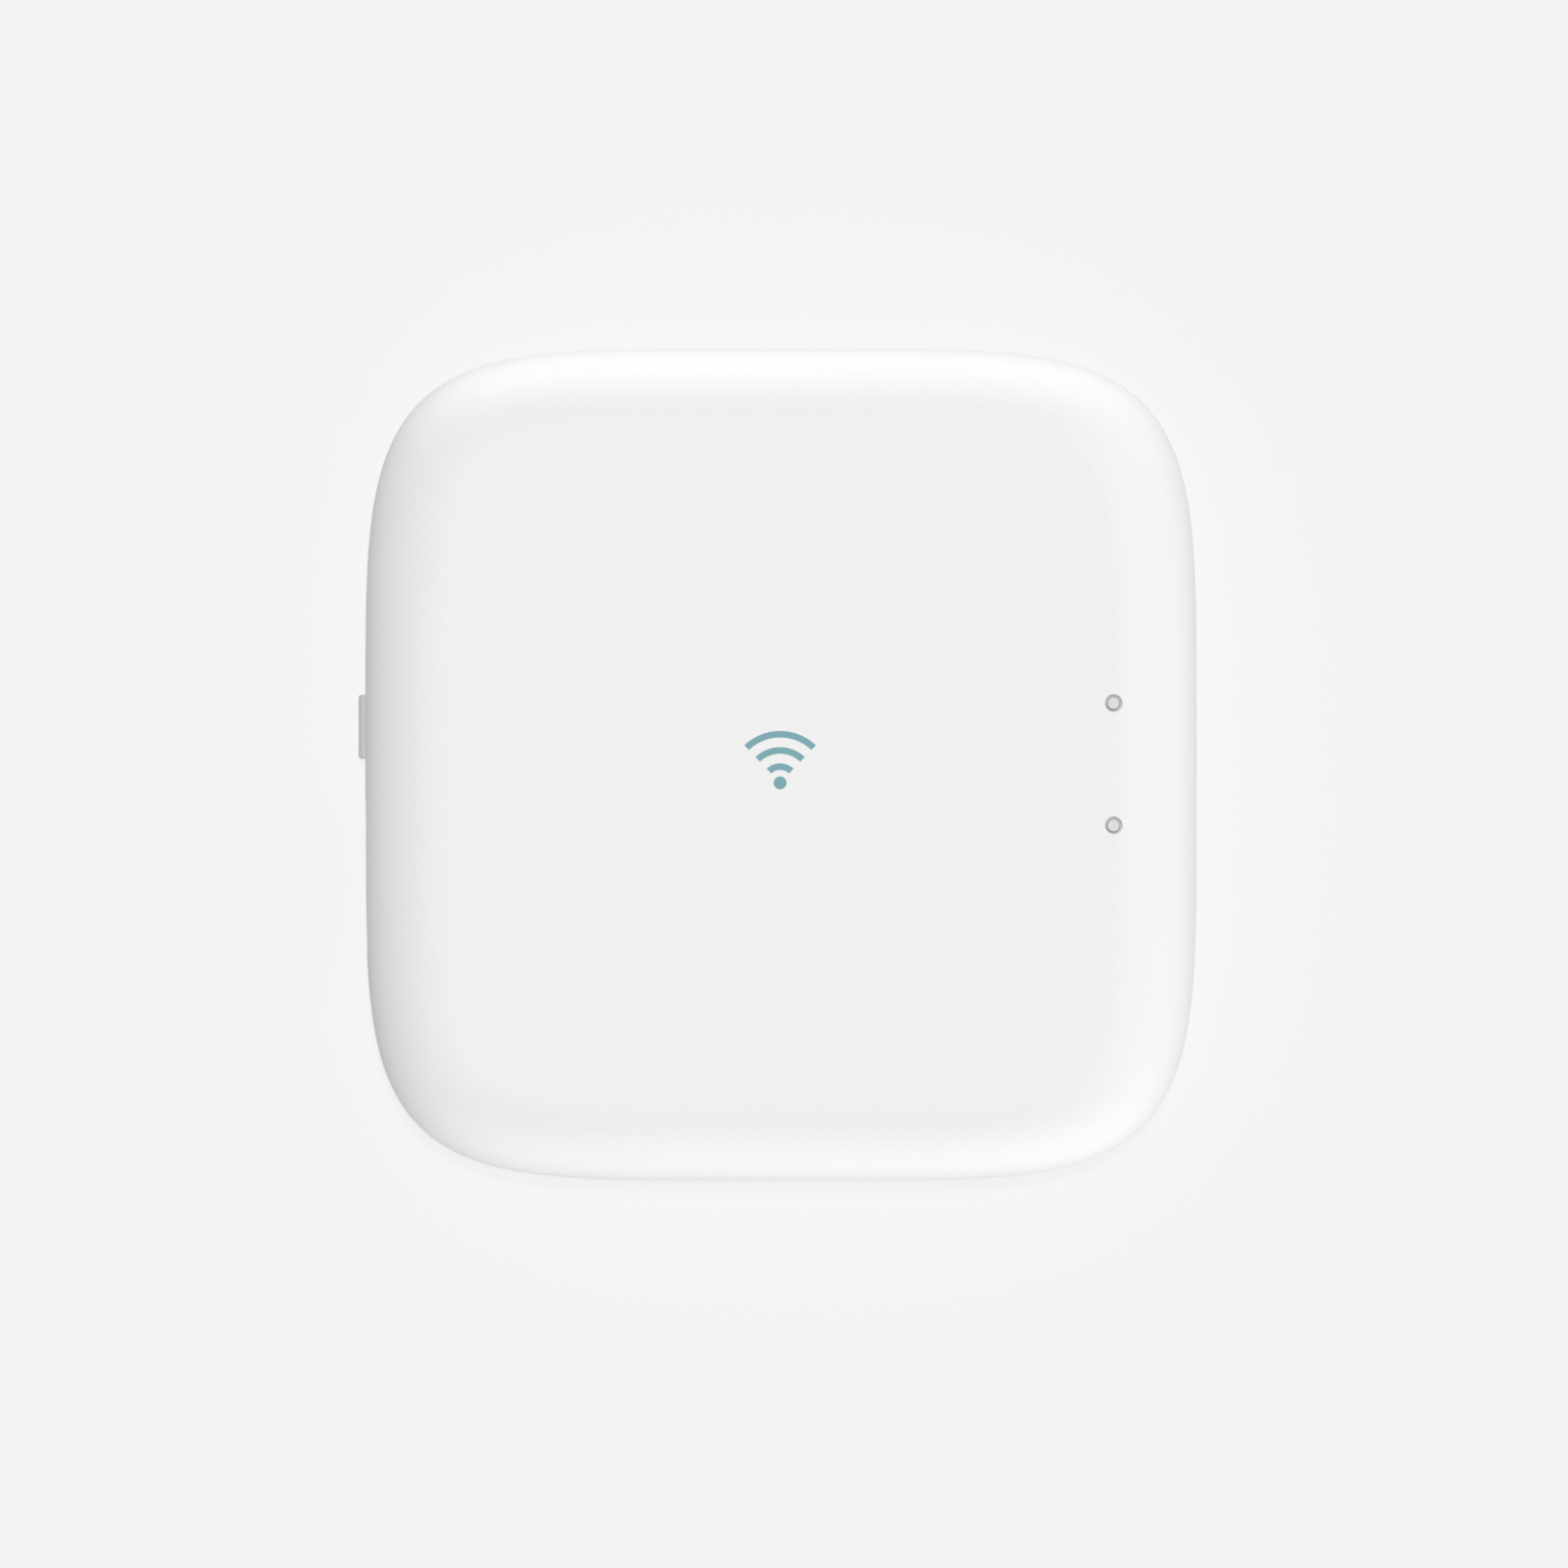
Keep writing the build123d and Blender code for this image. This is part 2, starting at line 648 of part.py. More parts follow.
# ---- Function key --------------------------------------------------------------------------------
with BuildPart() as function_key:
    with BuildSketch(Plane.YZ.offset(-half - key_proud)):
        with Locations((key_y, z_key)):
            RectangleRounded(key_length, key_height, key_corner)
    extrude(amount=x_key_flange + half + key_proud)
    fillet(function_key.faces().sort_by(Axis.X)[0].edges(), key_edge)
    # The nose bows outwards from the case's face, so a finger finds its middle.
    x_nose, z0, z1 = -half - key_proud, z_key - key_height / 2, z_key + key_height / 2
    with BuildSketch(Plane.XZ.offset(-key_y)):
        with BuildLine():
            nose = ThreePointArc((-half, z0), (x_nose, z_key), (-half, z1))
            Polyline(nose @ 1, (x_key_flange, z1), (x_key_flange, z0), nose @ 0)
        make_face()
    extrude(amount=key_length / 2, both=True, mode=Mode.INTERSECT)
    with BuildSketch(Plane.YZ.offset(x_key_flange)):
        with Locations((key_y, z_key)):
            flange_length = key_length + 2 * key_flange_margin
            flange_height = key_height + 2 * key_flange_margin
            RectangleRounded(flange_length, flange_height, key_corner)
    extrude(amount=key_flange_thickness)
    y0, y1 = key_y - key_post_length / 2, key_y + key_post_length / 2
    z0, z1 = z_key - key_post_height / 2, z_key + key_post_height / 2
    block(x_key_flange + key_flange_thickness, x_key_post, y0, y1, z0, z1)
save(function_key, "function_key")

# ---- Side-push switch: base, metal plate, plunger, snap dome -------------------------------------
z_switch_top = z_board_top + switch_height
x_pocket = x_switch + switch_pocket_depth
switch_y0, switch_y1 = key_y - switch_length / 2, key_y + switch_length / 2
pocket_half_y = plunger_length / 2 + plunger_play
pocket_half_z = plunger_height / 2 + plunger_play
with BuildPart() as switch_base:
    block(x_switch, x_switch + switch_depth, switch_y0, switch_y1, z_board_top, z_switch_top)
    y0, y1 = key_y - pocket_half_y, key_y + pocket_half_y
    z0, z1 = z_key - pocket_half_z, z_key + pocket_half_z
    block(x_switch, x_pocket, y0, y1, z0, z1, Mode.SUBTRACT)
    half_dome = dome_radius + plunger_play
    x_dome_room = x_pocket - dome_rise - dome_thickness - plunger_play
    y0, y1 = key_y - half_dome, key_y + half_dome
    z0, z1 = z_key - half_dome, z_key + half_dome
    block(x_dome_room, x_pocket, y0, y1, z0, z1, Mode.SUBTRACT)
save(switch_base, "switch_base")

with BuildPart() as switch_plate_piece:
    x0 = x_switch - switch_plate
    block(x0, x_switch, switch_y0, switch_y1, z_board_top, z_switch_top)
    block(x0, x_switch + switch_depth, switch_y0, switch_y1, z_switch_top, z_switch_top + switch_plate)
    y0, y1 = key_y - pocket_half_y, key_y + pocket_half_y
    z0, z1 = z_key - pocket_half_z, z_key + pocket_half_z
    block(x0, x_switch, y0, y1, z0, z1, Mode.SUBTRACT)
    x1 = x_switch + switch_tab_front
    x2 = x1 + switch_tab_width
    block(x1, x2, switch_y0 - switch_plate, switch_y0, z_board_top, z_switch_top + switch_plate)
    block(x1, x2, switch_y1, switch_y1 + switch_plate, z_board_top, z_switch_top + switch_plate)
save(switch_plate_piece, "switch_plate")

with BuildPart() as switch_plunger:
    y0, y1 = key_y - plunger_length / 2, key_y + plunger_length / 2
    z0, z1 = z_key - plunger_height / 2, z_key + plunger_height / 2
    block(x_plunger, x_switch + plunger_in, y0, y1, z0, z1)
    chamfer(switch_plunger.faces().sort_by(Axis.X)[0].edges(), 0.15)
save(switch_plunger, "switch_plunger")

dome_rim = dome_radius - dome_thickness
dome_tip = dome_rise + dome_thickness
with BuildPart() as switch_dome:
    with BuildSketch(Plane((x_pocket, key_y, z_key))):
        with BuildLine():
            ThreePointArc((0, -dome_radius), (-dome_tip, 0), (0, dome_radius))
            Line((0, dome_radius), (0, dome_rim))
            ThreePointArc((0, dome_rim), (-dome_rise, 0), (0, -dome_rim))
            Line((0, -dome_rim), (0, -dome_radius))
        make_face()
        split(bisect_by=Plane.XZ)
    revolve(axis=Axis((x_pocket, key_y, z_key), (1, 0, 0)))
save(switch_dome, "switch_dome")

# ---- Indicators: light pipes and their diodes ----------------------------------------------------
z_pipe_shoulder = z_ceiling + ceiling / 4 - pipe_stem_play
z_diode_top = z_board_top + led_height
for indicator_name, (led_x, led_y) in zip(("network", "power"), indicators):
    with BuildPart() as light_pipe:
        with BuildSketch(Plane.XY.offset(z_diode_top + pipe_led_gap)):
            with Locations((led_x, led_y)):
                Circle(pipe_stem_radius)
        extrude(amount=z_pipe_shoulder - z_diode_top - pipe_led_gap)
        with BuildSketch(Plane.XY.offset(z_pipe_shoulder)):
            with Locations((led_x, led_y)):
                Circle(pipe_tip_radius)
        extrude(amount=z_top - pipe_tip_recess - z_pipe_shoulder)
        fillet(light_pipe.edges().sort_by(Axis.Z)[-1], pipe_tip_radius / 3)
        with BuildSketch(Plane.XY.offset(z_sleeve - pipe_flange_height)):
            with Locations((led_x, led_y)):
                Circle(pipe_flange_radius)
        extrude(amount=pipe_flange_height)
    save(light_pipe, f"light_pipe_{indicator_name}")

    with BuildPart() as diode:
        half_length, half_width = led_length / 2, led_width / 2
        x0, x1 = led_x - half_width, led_x + half_width
        y0, y1 = led_y - half_length, led_y + half_length
        block(x0, x1, y0, y1, z_board_top, z_board_top + led_height / 2)
        inset = led_length / 5
        block(x0, x1, y0 + inset, y1 - inset, z_board_top + led_height / 2, z_diode_top)
    save(diode, f"led_{indicator_name}")

# ---- Chips on the board --------------------------------------------------------------------------
chip_lift = 0.1
lead_thickness = 0.15


def lead(shoulder_height, reach, lead_width):
    """A gull-wing lead that leaves a package at the origin's YZ plane and points along +X."""
    shoulder, slope = reach * 0.3, reach * 0.15
    t = lead_thickness
    with BuildPart() as body:
        with BuildSketch(Plane.XZ):
            with BuildLine():
                Polyline(
                    (0, shoulder_height + t),
                    (shoulder + t, shoulder_height + t),
                    (shoulder + slope + t, t),
                    (reach, t),
                    (reach, 0),
                    (shoulder + slope, 0),
                    (shoulder, shoulder_height),
                    (0, shoulder_height),
                    close=True,
                )
            make_face()
        extrude(amount=lead_width / 2, both=True)
    return body.part


def chip(name, x, y, size_x, size_y, height, sides, count, pitch, reach, lead_width):
    """A moulded package and its leads. Sides are the compass angles that the leads point to."""
    with BuildPart() as package:
        z0, z1 = z_board_top + chip_lift, z_board_top + height
        block(x - size_x / 2, x + size_x / 2, y - size_y / 2, y + size_y / 2, z0, z1)
        chamfer(package.faces().sort_by(Axis.Z)[-1].edges(), 0.15)
        mark = min(size_x, size_y) * 0.08
        corner_x, corner_y = x - size_x / 2 + 2.5 * mark, y + size_y / 2 - 2.5 * mark
        with BuildSketch(Plane.XY.offset(z1)):
            with Locations((corner_x, corner_y)):
                Circle(mark)
        extrude(amount=-0.08, mode=Mode.SUBTRACT)
    save(package, f"{name}_chip")

    one_lead = lead(height * 0.45, reach, lead_width)
    with BuildPart() as leads:
        for side in sides:
            edge = size_x / 2 if side % 180 == 0 else size_y / 2
            turn = Location((x, y, z_board_top), (0, 0, side))
            row = [Location((edge, (k - (count - 1) / 2) * pitch, 0)) for k in range(count)]
            with Locations(*[turn * place for place in row]):
                add(one_lead, clean=False)
    save(leads, f"{name}_leads")


x_magnetics = x_jack_pin + 6.7
x_processor = x_magnetics + 17.0
x_memory = x_processor - 2.5
y_processor = jack_y + 4.0
y_memory = y_processor + 20.0
x_radio = x_indicator - 3.4
x_converter = x_board_port + 14.6
chip("processor", x_processor, y_processor, 14.0, 14.0, 1.4, (0, 90, 180, 270), 25, 0.5, 1.0, 0.22)
chip("memory", x_memory, y_memory, 22.2, 10.2, 1.1, (90, 270), 27, 0.8, 0.8, 0.35)
chip("flash", x_processor + 18.5, y_processor - 4.0, 5.2, 5.2, 1.8, (0, 180), 4, 1.27, 1.3, 0.4)
chip("magnetics", x_magnetics, jack_y, 7.1, 12.7, 5.7, (0, 180), 8, 1.27, 1.2, 0.5)
chip("regulator", x_converter, power_y - 3.0, 1.6, 2.9, 1.1, (0, 180), 3, 0.95, 0.6, 0.4)

# ---- Crystal, coil and capacitors ----------------------------------------------------------------
crystal_length, crystal_width, crystal_height = 10.4, 3.8, 3.5
crystal_rim, crystal_rim_height = 0.5, 0.6
crystal_y = y_processor - 12.5
with BuildPart() as crystal:
    with BuildSketch(Plane.XY.offset(z_board_top)):
        with Locations((x_processor, crystal_y)):
            SlotOverall(crystal_length + 2 * crystal_rim, crystal_width + 2 * crystal_rim)
    extrude(amount=crystal_rim_height)
    with BuildSketch(Plane.XY.offset(z_board_top + crystal_rim_height)):
        with Locations((x_processor, crystal_y)):
            SlotOverall(crystal_length, crystal_width)
    extrude(amount=crystal_height - crystal_rim_height)
    fillet(crystal.faces().sort_by(Axis.Z)[-1].edges(), 0.4)
save(crystal, "crystal")

coil_size, coil_corner, coil_height = 5.0, 0.8, 3.0
coil_groove_radius, coil_groove = 2.0, 0.3
x_coil, y_coil = x_converter + 7.0, power_y - 3.0
with BuildPart() as power_coil:
    with BuildSketch(Plane.XY.offset(z_board_top)):
        with Locations((x_coil, y_coil)):
            RectangleRounded(coil_size, coil_size, coil_corner)
    extrude(amount=coil_height)
    with BuildSketch(Plane.XY.offset(z_board_top + coil_height)):
        with Locations((x_coil, y_coil)):
            Circle(coil_groove_radius)
            Circle(coil_groove_radius - coil_groove, mode=Mode.SUBTRACT)
    extrude(amount=-coil_groove, mode=Mode.SUBTRACT)
save(power_coil, "power_coil")

can_places = [(x_converter - 1.0, key_y + 2.4), (x_converter + 7.0, key_y + 2.4)]
can_radius = 3.15
aluminium_height = 5.0
base_height = 0.9
base_size = 2 * can_radius + 0.3
with BuildPart() as capacitor_bases:
    with BuildSketch(Plane.XY.offset(z_board_top)):
        with Locations(*can_places):
            RectangleRounded(base_size, base_size, 0.6)
    extrude(amount=base_height)
save(capacitor_bases, "capacitor_bases")

with BuildPart() as capacitor_cans:
    with BuildSketch(Plane.XY.offset(z_board_top + base_height)):
        with Locations(*can_places):
            Circle(can_radius)
    extrude(amount=aluminium_height)
    fillet(capacitor_cans.faces().group_by(Axis.Z)[-1].edges(), 0.35)
save(capacitor_cans, "capacitor_cans")

# ---- Small chip parts in rows --------------------------------------------------------------------
chip_part_length, chip_part_width = 1.6, 0.8
row_step = 2.0


def row(x, y, count, along_x):
    """Places of a row of small parts, a step apart, from its first part."""
    return [(x + row_step * k, y) if along_x else (x, y + row_step * k) for k in range(count)]


capacitor_places = (
    row(x_processor - 7.0, y_processor + 10.2, 8, True)
    + row(x_processor - 10.2, y_processor - 6.0, 7, False)
    + row(x_memory - 9.0, y_memory + 8.0, 8, True)
)
resistor_places = (
    row(x_processor + 10.2, y_processor - 6.0, 7, False)
    + row(x_indicator - 10.0, -indicator_spacing - 1.0, 4, True)
    + row(x_magnetics - 3.0, jack_y + 8.5, 4, True)
)
for parts_name, places, part_height in (
    ("ceramic_capacitors", capacitor_places, 0.8),
    ("resistors", resistor_places, 0.45),
):
    with BuildPart() as chip_parts:
        for x, y in places:
            half_x, half_y = chip_part_width / 2, chip_part_length / 2
            block(x - half_x, x + half_x, y - half_y, y + half_y, z_board_top, z_board_top + part_height)
    save(chip_parts, parts_name)

# ---- Radio module: its board, chip, metal can and printed antenna --------------------------------
radio_width = 16.0
radio_length = 24.0
radio_thickness = 0.8
radio_y0 = board_half_y - radio_length
radio_x0 = x_radio - radio_width
z_radio_top = z_board_top + radio_thickness
can_sheet = 0.2
can_margin = 0.9
can_length = 15.8
can_height = 2.2
half_hole_radius, half_hole_pitch, half_hole_count = 0.4, 1.5, 10
radio_chip_size, radio_chip_height = 7.0, 0.9
with BuildPart() as radio_board:
    block(radio_x0, x_radio, radio_y0, radio_y0 + radio_length, z_board_top, z_radio_top)
    with BuildSketch(Plane.XY.offset(z_board_top)):
        hole_ys = [radio_y0 + 2.0 + half_hole_pitch * k for k in range(half_hole_count)]
        with Locations(*[(x, y) for x in (radio_x0, x_radio) for y in hole_ys]):
            Circle(half_hole_radius)
    extrude(amount=radio_thickness, mode=Mode.SUBTRACT)
save(radio_board, "radio_board")

with BuildPart() as radio_can:
    x0, x1 = radio_x0 + can_margin, x_radio - can_margin
    y0, y1 = radio_y0 + can_margin, radio_y0 + can_margin + can_length
    block(x0, x1, y0, y1, z_radio_top, z_radio_top + can_height)
    fillet(radio_can.edges().filter_by(Axis.Z), 0.6)
    s = can_sheet
    block(x0 + s, x1 - s, y0 + s, y1 - s, z_radio_top, z_radio_top + can_height - s, Mode.SUBTRACT)
save(radio_can, "radio_can")

with BuildPart() as radio_chip:
    x, y = radio_x0 + radio_width / 2, radio_y0 + can_margin + can_length / 2
    reach = radio_chip_size / 2
    block(x - reach, x + reach, y - reach, y + reach, z_radio_top, z_radio_top + radio_chip_height)
save(radio_chip, "radio_chip")

antenna_strip = 0.5
antenna_pitch = 1.2
antenna_turns = 5
antenna_length = 4.4
with BuildPart() as radio_antenna:
    y0 = radio_y0 + radio_length - antenna_length - 0.8
    z0, z1 = z_radio_top, z_radio_top + 0.05
    for k in range(2 * antenna_turns):
        x = radio_x0 + 2.0 + antenna_pitch * k
        block(x, x + antenna_strip, y0, y0 + antenna_length, z0, z1)
        if k < 2 * antenna_turns - 1:
            y = y0 + antenna_length - antenna_strip if k % 2 == 0 else y0
            block(x, x + antenna_pitch + antenna_strip, y, y + antenna_strip, z0, z1)
save(radio_antenna, "radio_antenna")
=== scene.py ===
import math

import bmesh
import bpy
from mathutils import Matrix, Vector


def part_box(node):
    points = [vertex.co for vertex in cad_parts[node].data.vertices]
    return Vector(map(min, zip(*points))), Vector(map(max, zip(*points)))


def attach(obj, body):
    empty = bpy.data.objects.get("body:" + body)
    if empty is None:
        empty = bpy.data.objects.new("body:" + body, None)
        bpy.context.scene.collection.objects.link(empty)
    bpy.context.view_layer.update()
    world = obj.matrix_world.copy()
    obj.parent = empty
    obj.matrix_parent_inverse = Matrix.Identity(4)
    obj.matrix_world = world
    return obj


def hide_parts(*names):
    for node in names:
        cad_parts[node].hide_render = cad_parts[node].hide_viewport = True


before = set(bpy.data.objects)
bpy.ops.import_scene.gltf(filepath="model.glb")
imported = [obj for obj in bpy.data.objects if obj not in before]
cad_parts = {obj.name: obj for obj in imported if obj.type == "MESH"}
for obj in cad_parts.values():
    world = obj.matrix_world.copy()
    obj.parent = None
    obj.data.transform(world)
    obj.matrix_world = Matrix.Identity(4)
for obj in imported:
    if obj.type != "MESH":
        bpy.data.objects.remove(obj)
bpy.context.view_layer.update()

# ========================================
# Bottom case. White ABS, injection moulded in one shot: a floor with four screw posts and four
# standoffs, a wall that follows a rounded square, and a thin tongue that stands inside the cover.
# Sizes are in millimetres and become metres when a mesh is made.
# ========================================
MM = 0.001
case_low, case_high = [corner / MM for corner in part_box("bottom_case")]
cover_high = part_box("top_cover")[1] / MM
half = cover_high.x
squareness = 5.0
wall = 2.0
case_floor = 2.0
bottom_round = 5.5
reveal_height = 0.35
reveal_depth = 0.4
lip_height = 1.3
lip_thickness = 0.8
lip_chamfer = 0.15
lip_clearance = 0.1
z_case = case_low.z
z_seam = case_high.z - lip_height
z_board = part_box("main_board")[0].z / MM
inner_half = half - wall
outline_segments = 384


def linear_colour(code):
    """The linear colour of an sRGB hex code."""
    channels = [int(code[k : k + 2], 16) / 255 for k in (1, 3, 5)]
    return [c / 12.92 if c <= 0.04045 else ((c + 0.055) / 1.055) ** 2.4 for c in channels] + [1.0]


def wire(tree, node, inputs):
    """Sets a node's inputs. A node given as the value is linked from its first live output."""
    for socket, value in inputs.items():
        if isinstance(value, bpy.types.Node):
            value = next(output for output in value.outputs if output.enabled)
        if isinstance(value, bpy.types.NodeSocket):
            tree.links.new(value, node.inputs[socket])
        else:
            node.inputs[socket].default_value = value


def add_node(tree, kind, inputs=None, **settings):
    """Adds a node with its settings and links."""
    node = tree.nodes.new(kind)
    for name, value in settings.items():
        setattr(node, name, value)
    wire(tree, node, inputs or {})
    return node


def per_metre(size):
    """Pattern scale that gives a texture cell this many millimetres."""
    return 1 / (size * MM)


def start_material(name):
    """A new material, its node tree and its shader."""
    material = bpy.data.materials.new(name)
    material.use_nodes = True
    return material, material.node_tree, material.node_tree.nodes["Principled BSDF"]


def grained(name, light, dark, grain, roughness, relief, stretch=(1.0, 1.0, 1.0)):
    """A material whose colour, gloss and height vary with its grain.

    Grain and relief are in millimetres, and stretch draws the grain out along an axis."""
    material, tree, shader = start_material(name)
    place = add_node(tree, "ShaderNodeTexCoord").outputs["Object"]
    laid = add_node(tree, "ShaderNodeVectorMath", {0: place, 1: stretch}, operation="MULTIPLY")
    speck = add_node(
        tree, "ShaderNodeTexNoise", {"Vector": laid, "Scale": per_metre(grain), "Detail": 3.0}
    )
    spread = add_node(tree, "ShaderNodeMapRange", {"Value": speck, 1: 0.3, 2: 0.7})
    tint = add_node(
        tree,
        "ShaderNodeMix",
        {0: spread, 6: linear_colour(light), 7: linear_colour(dark)},
        data_type="RGBA",
    )
    sheen = add_node(
        tree, "ShaderNodeMapRange", {"Value": spread, 3: roughness - 0.04, 4: roughness + 0.04}
    )
    bump = add_node(tree, "ShaderNodeBump", {"Strength": 0.5, "Distance": relief * MM, "Height": speck})
    wire(tree, shader, {"Base Color": tint, "Roughness": sheen, "Normal": bump})
    return material, tree, shader


def overlay(tree, shader, mask, colour):
    """Lays a second colour over a shader's own, where a mask is one."""
    own = shader.inputs["Base Color"].links[0].from_node
    tint = add_node(tree, "ShaderNodeMix", {0: mask, 6: own, 7: linear_colour(colour)}, data_type="RGBA")
    wire(tree, shader, {"Base Color": tint})


def coat_nodes(material, *names):
    """Gives CAD nodes a material."""
    for name in names:
        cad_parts[name].material_slots[0].material = material


# White ABS from a spark-eroded mould: a satin skin with a soft, even highlight. The real grain is
# about 0.05 mm, so it is drawn at 0.3 mm to show in close views.
shell_abs, _, shell_shader = grained(
    "White ABS, spark-eroded mould", "#EEEEEE", "#ECECEC", 0.3, 0.66, 0.006
)
shell_shader.inputs["IOR"].default_value = 1.53
shell_shader.inputs["Specular IOR Level"].default_value = 0.35


def outline_point_tree():
    """A point on the rounded-square outline |x|^n + |y|^n = r^n, moved inwards along its normal."""
    tree = bpy.data.node_groups.new("Rounded-square point", "GeometryNodeTree")
    for name in ("Angle", "Half Width", "Squareness", "Inset", "Height"):
        tree.interface.new_socket(name, in_out="INPUT", socket_type="NodeSocketFloat")
    tree.interface.new_socket("Position", in_out="OUTPUT", socket_type="NodeSocketVector")
    given = add_node(tree, "NodeGroupInput").outputs
    power = given["Squareness"]
    across = add_node(tree, "ShaderNodeMath", {0: given["Angle"]}, operation="COSINE")
    along = add_node(tree, "ShaderNodeMath", {0: given["Angle"]}, operation="SINE")
    ray = add_node(tree, "ShaderNodeCombineXYZ", {0: across, 1: along})
    size = add_node(tree, "ShaderNodeVectorMath", {0: ray}, operation="ABSOLUTE")
    powers = add_node(tree, "ShaderNodeCombineXYZ", {0: power, 1: power, 2: 1.0})
    raised = add_node(tree, "ShaderNodeVectorMath", {0: size, 1: powers}, operation="POWER")
    total = add_node(
        tree, "ShaderNodeVectorMath", {0: raised, 1: (1.0, 1.0, 0.0)}, operation="DOT_PRODUCT"
    ).outputs["Value"]
    root = add_node(tree, "ShaderNodeMath", {0: -1.0, 1: power}, operation="DIVIDE")
    share = add_node(tree, "ShaderNodeMath", {0: total, 1: root}, operation="POWER")
    reach = add_node(tree, "ShaderNodeMath", {0: share, 1: given["Half Width"]}, operation="MULTIPLY")
    rim = add_node(tree, "ShaderNodeVectorMath", {0: ray, "Scale": reach}, operation="SCALE")
    less = add_node(tree, "ShaderNodeVectorMath", {0: powers, 1: (1.0, 1.0, 0.0)}, operation="SUBTRACT")
    slope = add_node(tree, "ShaderNodeVectorMath", {0: size, 1: less}, operation="POWER")
    side = add_node(tree, "ShaderNodeVectorMath", {0: ray}, operation="SIGN")
    facing = add_node(tree, "ShaderNodeVectorMath", {0: slope, 1: side}, operation="MULTIPLY")
    normal = add_node(tree, "ShaderNodeVectorMath", {0: facing}, operation="NORMALIZE")
    inwards = add_node(tree, "ShaderNodeMath", {0: given["Inset"], 1: -1.0}, operation="MULTIPLY")
    step = add_node(tree, "ShaderNodeVectorMath", {0: normal, "Scale": inwards}, operation="SCALE")
    flat = add_node(tree, "ShaderNodeVectorMath", {0: rim, 1: step}, operation="ADD")
    lift = add_node(tree, "ShaderNodeCombineXYZ", {2: given["Height"]})
    point = add_node(tree, "ShaderNodeVectorMath", {0: flat, 1: lift}, operation="ADD")
    add_node(tree, "NodeGroupOutput", {"Position": point})
    return tree


def shell_tree():
    """Sweeps a profile round the rounded square and closes its two ends with flat plates.

    Each profile vertex holds its inset, its height and the half width of the outline it is set
    in from, because the outside and the inside of a wall start from different outlines."""
    point_tree = outline_point_tree()
    tree = bpy.data.node_groups.new("Rounded-square shell", "GeometryNodeTree")
    for name, kind in (
        ("Profile", "NodeSocketGeometry"),
        ("Squareness", "NodeSocketFloat"),
        ("Segments", "NodeSocketInt"),
        ("Material", "NodeSocketMaterial"),
    ):
        tree.interface.new_socket(name, in_out="INPUT", socket_type=kind)
    tree.interface.new_socket("Shell", in_out="OUTPUT", socket_type="NodeSocketGeometry")
    given = add_node(tree, "NodeGroupInput").outputs
    profile = given["Profile"]
    segments = given["Segments"]
    count = add_node(
        tree, "GeometryNodeAttributeDomainSize", {0: profile}, component="MESH"
    ).outputs["Point Count"]
    index = add_node(tree, "GeometryNodeInputIndex")
    turn = add_node(tree, "ShaderNodeMath", {0: 2 * math.pi, 1: segments}, operation="DIVIDE")
    last = add_node(tree, "ShaderNodeMath", {0: count, 1: 1.0}, operation="SUBTRACT")
    lengthwise = add_node(tree, "ShaderNodeMath", {0: index, 1: count}, operation="DIVIDE")
    column = add_node(tree, "ShaderNodeMath", {0: lengthwise}, operation="FLOOR")
    row = add_node(tree, "ShaderNodeMath", {0: index, 1: count}, operation="MODULO")
    columns = add_node(tree, "ShaderNodeMath", {0: segments, 1: 1.0}, operation="ADD")
    grid = add_node(
        tree, "GeometryNodeMeshGrid", {"Vertices X": columns, "Vertices Y": count}
    ).outputs["Mesh"]
    plate = add_node(
        tree, "GeometryNodeMeshCircle", {"Vertices": segments}, fill_type="NGON"
    ).outputs["Mesh"]
    position = add_node(tree, "GeometryNodeInputPosition")
    parts = []
    for mesh, steps_round, profile_index in (
        (grid, column, row),
        (plate, index, 0),
        (plate, index, last),
    ):
        angle = add_node(tree, "ShaderNodeMath", {0: steps_round, 1: turn}, operation="MULTIPLY")
        sample = add_node(
            tree,
            "GeometryNodeSampleIndex",
            {"Geometry": profile, "Value": position, "Index": profile_index},
            data_type="FLOAT_VECTOR",
        )
        inset, height, half_width = add_node(tree, "ShaderNodeSeparateXYZ", {0: sample}).outputs
        point = add_node(tree, "GeometryNodeGroup", node_tree=point_tree)
        wire(
            tree,
            point,
            {
                "Angle": angle,
                "Half Width": half_width,
                "Squareness": given["Squareness"],
                "Inset": inset,
                "Height": height,
            },
        )
        parts.append(add_node(tree, "GeometryNodeSetPosition", {"Geometry": mesh, "Position": point}))
    joined = add_node(tree, "GeometryNodeJoinGeometry")
    for part in parts:
        wire(tree, joined, {0: part})
    closed = add_node(tree, "GeometryNodeMergeByDistance", {0: joined, "Distance": 0.001 * MM})
    real = add_node(tree, "GeometryNodeRealizeInstances", {0: closed})
    painted = add_node(tree, "GeometryNodeSetMaterial", {"Geometry": real, "Material": given["Material"]})
    add_node(tree, "NodeGroupOutput", {"Shell": painted})
    return tree


rounded_square_shell = shell_tree()


def plain(piece):
    """Replaces a piece's mesh with what its modifiers make of it."""
    seen = piece.evaluated_get(bpy.context.evaluated_depsgraph_get())
    mesh = bpy.data.meshes.new_from_object(seen)
    piece.modifiers.clear()
    piece.data = mesh
    return piece


def new_object(name, vertices, edges=(), faces=()):
    """A mesh object from points in millimetres."""
    mesh = bpy.data.meshes.new(name)
    mesh.from_pydata([Vector(v) * MM for v in vertices], list(edges), list(faces))
    piece = bpy.data.objects.new(name, mesh)
    bpy.context.scene.collection.objects.link(piece)
    return piece


